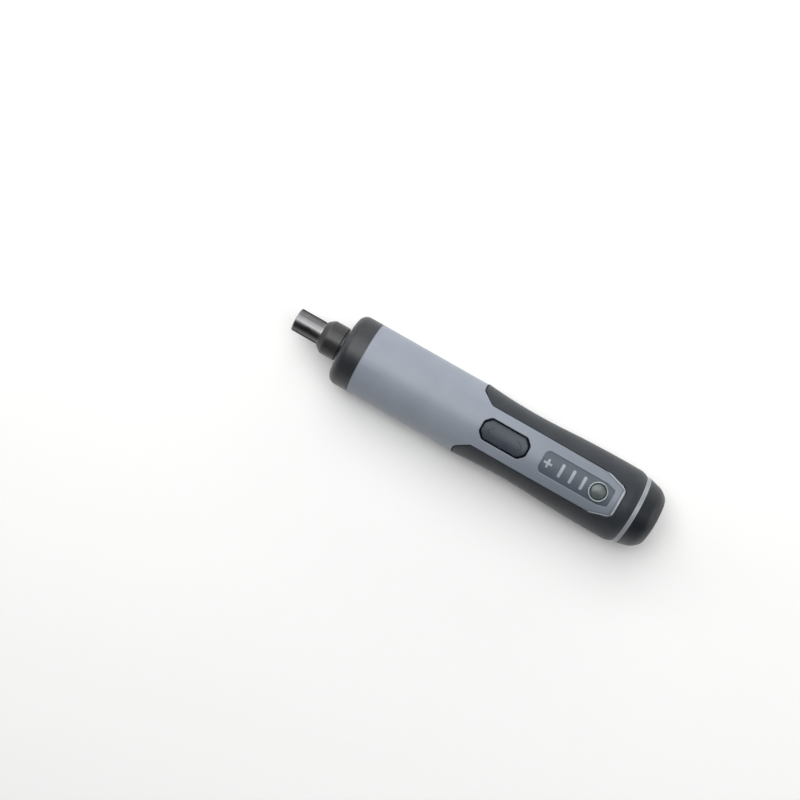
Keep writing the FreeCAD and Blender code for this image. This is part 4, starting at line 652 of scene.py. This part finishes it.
def roundButton(size):
    low, high = [np.array(c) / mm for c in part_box("mode_button")]
    at = (low[0] + high[0]) / 2
    rim = size["radius"] - size["roll"]
    domeRadius = (rim ** 2 + size["domeRise"] ** 2) / (2 * size["domeRise"])  # of an arc through rim and crest
    radius = np.linspace(size["pole"], rim, size["domeSteps"])
    dome = np.stack([radius, high[2] - domeRadius + np.sqrt(domeRadius ** 2 - radius ** 2)], 1)
    rollMiddle = (rim, high[2] - size["domeRise"] - size["roll"])
    roll = arcPoints(rollMiddle, size["roll"], start=size["rollFrom"], end=0, steps=size["rollSteps"])
    wide, upper, lower = size["flange"]
    below = [(size["radius"], upper), (wide, upper), (wide, lower), (size["stem"], lower), (size["stem"], low[2])]
    rings = turnedRings(np.vstack([dome, roll, below]), (at, 0))
    toolPiece("roundButton", [ringSkin(rings, [(at, 0, high[2]), (at, 0, low[2])])], "mode_gloss", "mode_button",
              "mode_button")


roundButton(buttonSize)

# ring round the button: two walls joined by a low arch, whose feet follow the panel's seat, a round of this radius
bezelSize = {"wall": 0.8, "crest": 0.22, "seatRadius": 17.25}


def buttonRing(size):
    low, high = [np.array(c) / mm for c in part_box("mode_bezel")]
    at, outer = (low[0] + high[0]) / 2, (high[0] - low[0]) / 2
    inner, half = outer - size["wall"], size["wall"] / 2
    arch = arcPoints((0, 0), 1, start=180, end=0, steps=13) * (half, size["crest"])
    arch = arch + (inner + half, high[2] - size["crest"])
    rings = turnedRings(np.vstack([[(inner, 0)], arch, [(outer, 0)]]), (at, 0), turns=128)
    seat = np.sqrt(size["seatRadius"] ** 2 - rings[..., 1] ** 2)
    rings[..., 2] = np.maximum(rings[..., 2], seat)
    toolPiece("buttonRing", [ringSkin(rings)], "bezel_chrome", "housing", "mode_bezel")


buttonRing(bezelSize)

# plain plus sign printed at the panel's full end: a thin pad on the panel's round
plusSize = {"at": 3.4, "arm": 2.2, "stroke": 0.55, "cornerRound": 0.2, "film": 0.05, "thick": 0.12, "rim": 0.04,
            "rimRound": ((0.01, 0.01), (0.0, 0.03)), "poleShare": 0.04, "rows": 12, "panelRadius": 18.05}


def plusSign(size):
    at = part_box("indicator_panel")[1].x / mm - size["at"]
    arm, stroke = size["arm"], size["stroke"]
    quarter = [(arm, -stroke), (arm, stroke), (stroke, stroke)]
    ways = ((1, 0), (0, 1), (-1, 0), (0, -1))  # the quarter turned to each arm
    corners = [(u * x - v * y, u * y + v * x) for x, y in ways for u, v in quarter]
    outline, outward = roundedOutline(corners, size["cornerRound"], arcSteps=6, runSteps=6)

    # the panel's round, with the film's thickness on it
    def onPanel(x, y):
        return np.sqrt(size["panelRadius"] ** 2 - y ** 2) + size["film"]

    thick, pole = size["thick"], size["poleShare"]
    rows = [(size["rim"], share, 0, onTop) for share in np.linspace(pole, 1, size["rows"])]
    rows += [(inset, 1, drop, onTop) for inset, drop in size["rimRound"]]
    rows += [(0, 1, thick, onTop), (0, pole, thick, onTop)]
    middle = float(onPanel(0.0, 0.0))
    points, sheets = ringSkin(padRings(outline, outward, rows, onPanel), [(0, 0, middle), (0, 0, middle - thick)])
    toolPiece("plusSign", [(points + np.array([at, 0, 0]), sheets)], "light_white", "housing")


plusSign(plusSize)
print("switch, seal, button, ring and sign made")

# pale sweep: a flat disc, a function of radius and angle, that rises in a quarter round far out
floorLook = {"under": 0.1 * mm, "radius": 1.6, "rise": 0.9, "steps": 64, "crowd": 1.5, "turns": 128, "rough": 0.75,
             "tone": fromScreen(250, 250, 249), "toneToo": fromScreen(253, 253, 252), "cloud": 0.35,
             "lit": (1.0, 2.1), "litSide": (1.2, -1.2), "litLeast": 0.2, "litStrength": 0.5}


def paleFloor(look):
    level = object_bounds()[0].z - look["under"]
    out = np.linspace(0, 1, look["steps"]) ** look["crowd"]  # rings crowd towards the tool
    flat = np.minimum(out * 2, 1.0) * look["radius"]
    bend = np.maximum(out * 2 - 1, 0.0) * math.pi / 2
    radius = flat + np.sin(bend) * look["rise"]
    height = level + (1 - np.cos(bend)) * look["rise"]
    angle = np.linspace(0, 2 * math.pi, look["turns"])
    points = np.stack([np.outer(radius, np.cos(angle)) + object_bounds()[0].x / 2, np.outer(radius, np.sin(angle)),
                       np.outer(height, np.ones_like(angle))], 2).reshape(-1, 3)
    f = Finish("paleFloor", {"Roughness": look["rough"], "Emission Strength": look["litStrength"]})
    colour = f.mix(f.noise(look["cloud"], detail=3.0), look["tone"], look["toneToo"])
    off = f.add("ShaderNodeVectorMath", {"operation": "LENGTH"}, {0: f.scaled((1, 1, 0))}, "Value")
    side = look["litLeast"] + f.step(f.axes()[1], *look["litSide"]) * (1 - look["litLeast"])
    wall = f.step(off, *look["lit"]) * side
    glow = f.mix(wall, fromScreen(0, 0, 0), look["tone"])  # the wall glows a little, less on the shaded side
    piece = meshPiece("paleFloor", points, gridFaces(look["steps"], look["turns"]).tolist(),
                      f.done(colour=colour, glow=glow))
    piece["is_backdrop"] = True


paleFloor(floorLook)

# camera above the tool, aimed a little ahead of where it stands, turned so that the axis runs down to the right
cameraPlace = {"stand": (-89.8 * mm, -17.0 * mm, 0.646), "aim": (-63.4 * mm, 9.4 * mm, 0.0), "turn": 209.7,
               "width": 390.2 * mm, "sensor": 36.0}


def overheadCamera(place):
    stand, aim, turn = np.array(place["stand"]), np.array(place["aim"]), math.radians(place["turn"])
    away = np.linalg.norm(stand - aim)
    back = (stand - aim) / away
    right = np.array([math.cos(turn), math.sin(turn), 0.0])
    right = right - back * (right @ back)  # the turned level line, squared to the line of sight
    right = right / np.linalg.norm(right)
    data = bpy.data.cameras.new("overhead")
    data.sensor_width = place["sensor"]
    data.lens = place["sensor"] * away / place["width"]  # lens over sensor is distance over width
    camera = bpy.data.objects.new("overhead", data)
    axes = np.stack([right, np.cross(back, right), back], 1)
    camera.matrix_world = Matrix(np.block([[axes, stand[:, None]], [np.zeros((1, 3)), np.ones((1, 1))]]).tolist())
    bpy.context.scene.collection.objects.link(camera)
    bpy.context.scene.camera = camera


overheadCamera(cameraPlace)

# soft boxes round the tool's middle: each by its bearing (degrees from X to Y), height angle and distance from there
boxesRound = np.array([-0.1, 0.0, 0.0])
lightBoxes = {
    "keyBox": {"bearing": -58, "rise": 61, "away": 1.3, "size": (1.3, 1.4), "watts": 15.5},
    "topBox": {"bearing": -90, "rise": 86, "away": 1.1, "size": (1.5, 0.45), "watts": 3.6},
    "frontBox": {"bearing": -14, "rise": 22, "away": 1.2, "size": (0.9, 0.5), "watts": 2.2},
    "rearBox": {"bearing": 194, "rise": 22, "away": 1.2, "size": (0.9, 0.5), "watts": 2.2},
    "sideBox": {"bearing": -90, "rise": 16, "away": 1.2, "size": (1.5, 0.4), "watts": 1.9},
}
skyTone = {"colour": (0.94, 0.97, 1.0, 1.0), "strength": 0.05}


def softBox(name, box):
    data = bpy.data.lights.new(name, "AREA")
    data.shape = "RECTANGLE"
    data.size, data.size_y = box["size"]
    data.energy = box["watts"]
    light = bpy.data.objects.new(name, data)
    bearing, rise = math.radians(box["bearing"]), math.radians(box["rise"])
    away = np.array([math.cos(bearing) * math.cos(rise), math.sin(bearing) * math.cos(rise), math.sin(rise)])
    light.location = away * box["away"] + boxesRound
    light.rotation_euler = (math.pi / 2 - rise, 0, bearing + math.pi / 2)
    bpy.context.scene.collection.objects.link(light)


for boxName, box in lightBoxes.items():
    softBox(boxName, box)
world = bpy.data.worlds.new("sky")
world.use_nodes = True
background = world.node_tree.nodes["Background"]
background.inputs["Color"].default_value = skyTone["colour"]
background.inputs["Strength"].default_value = skyTone["strength"]
bpy.context.scene.world = world
bpy.context.scene.view_settings.view_transform = "Standard"
print("stage, camera and lights set")
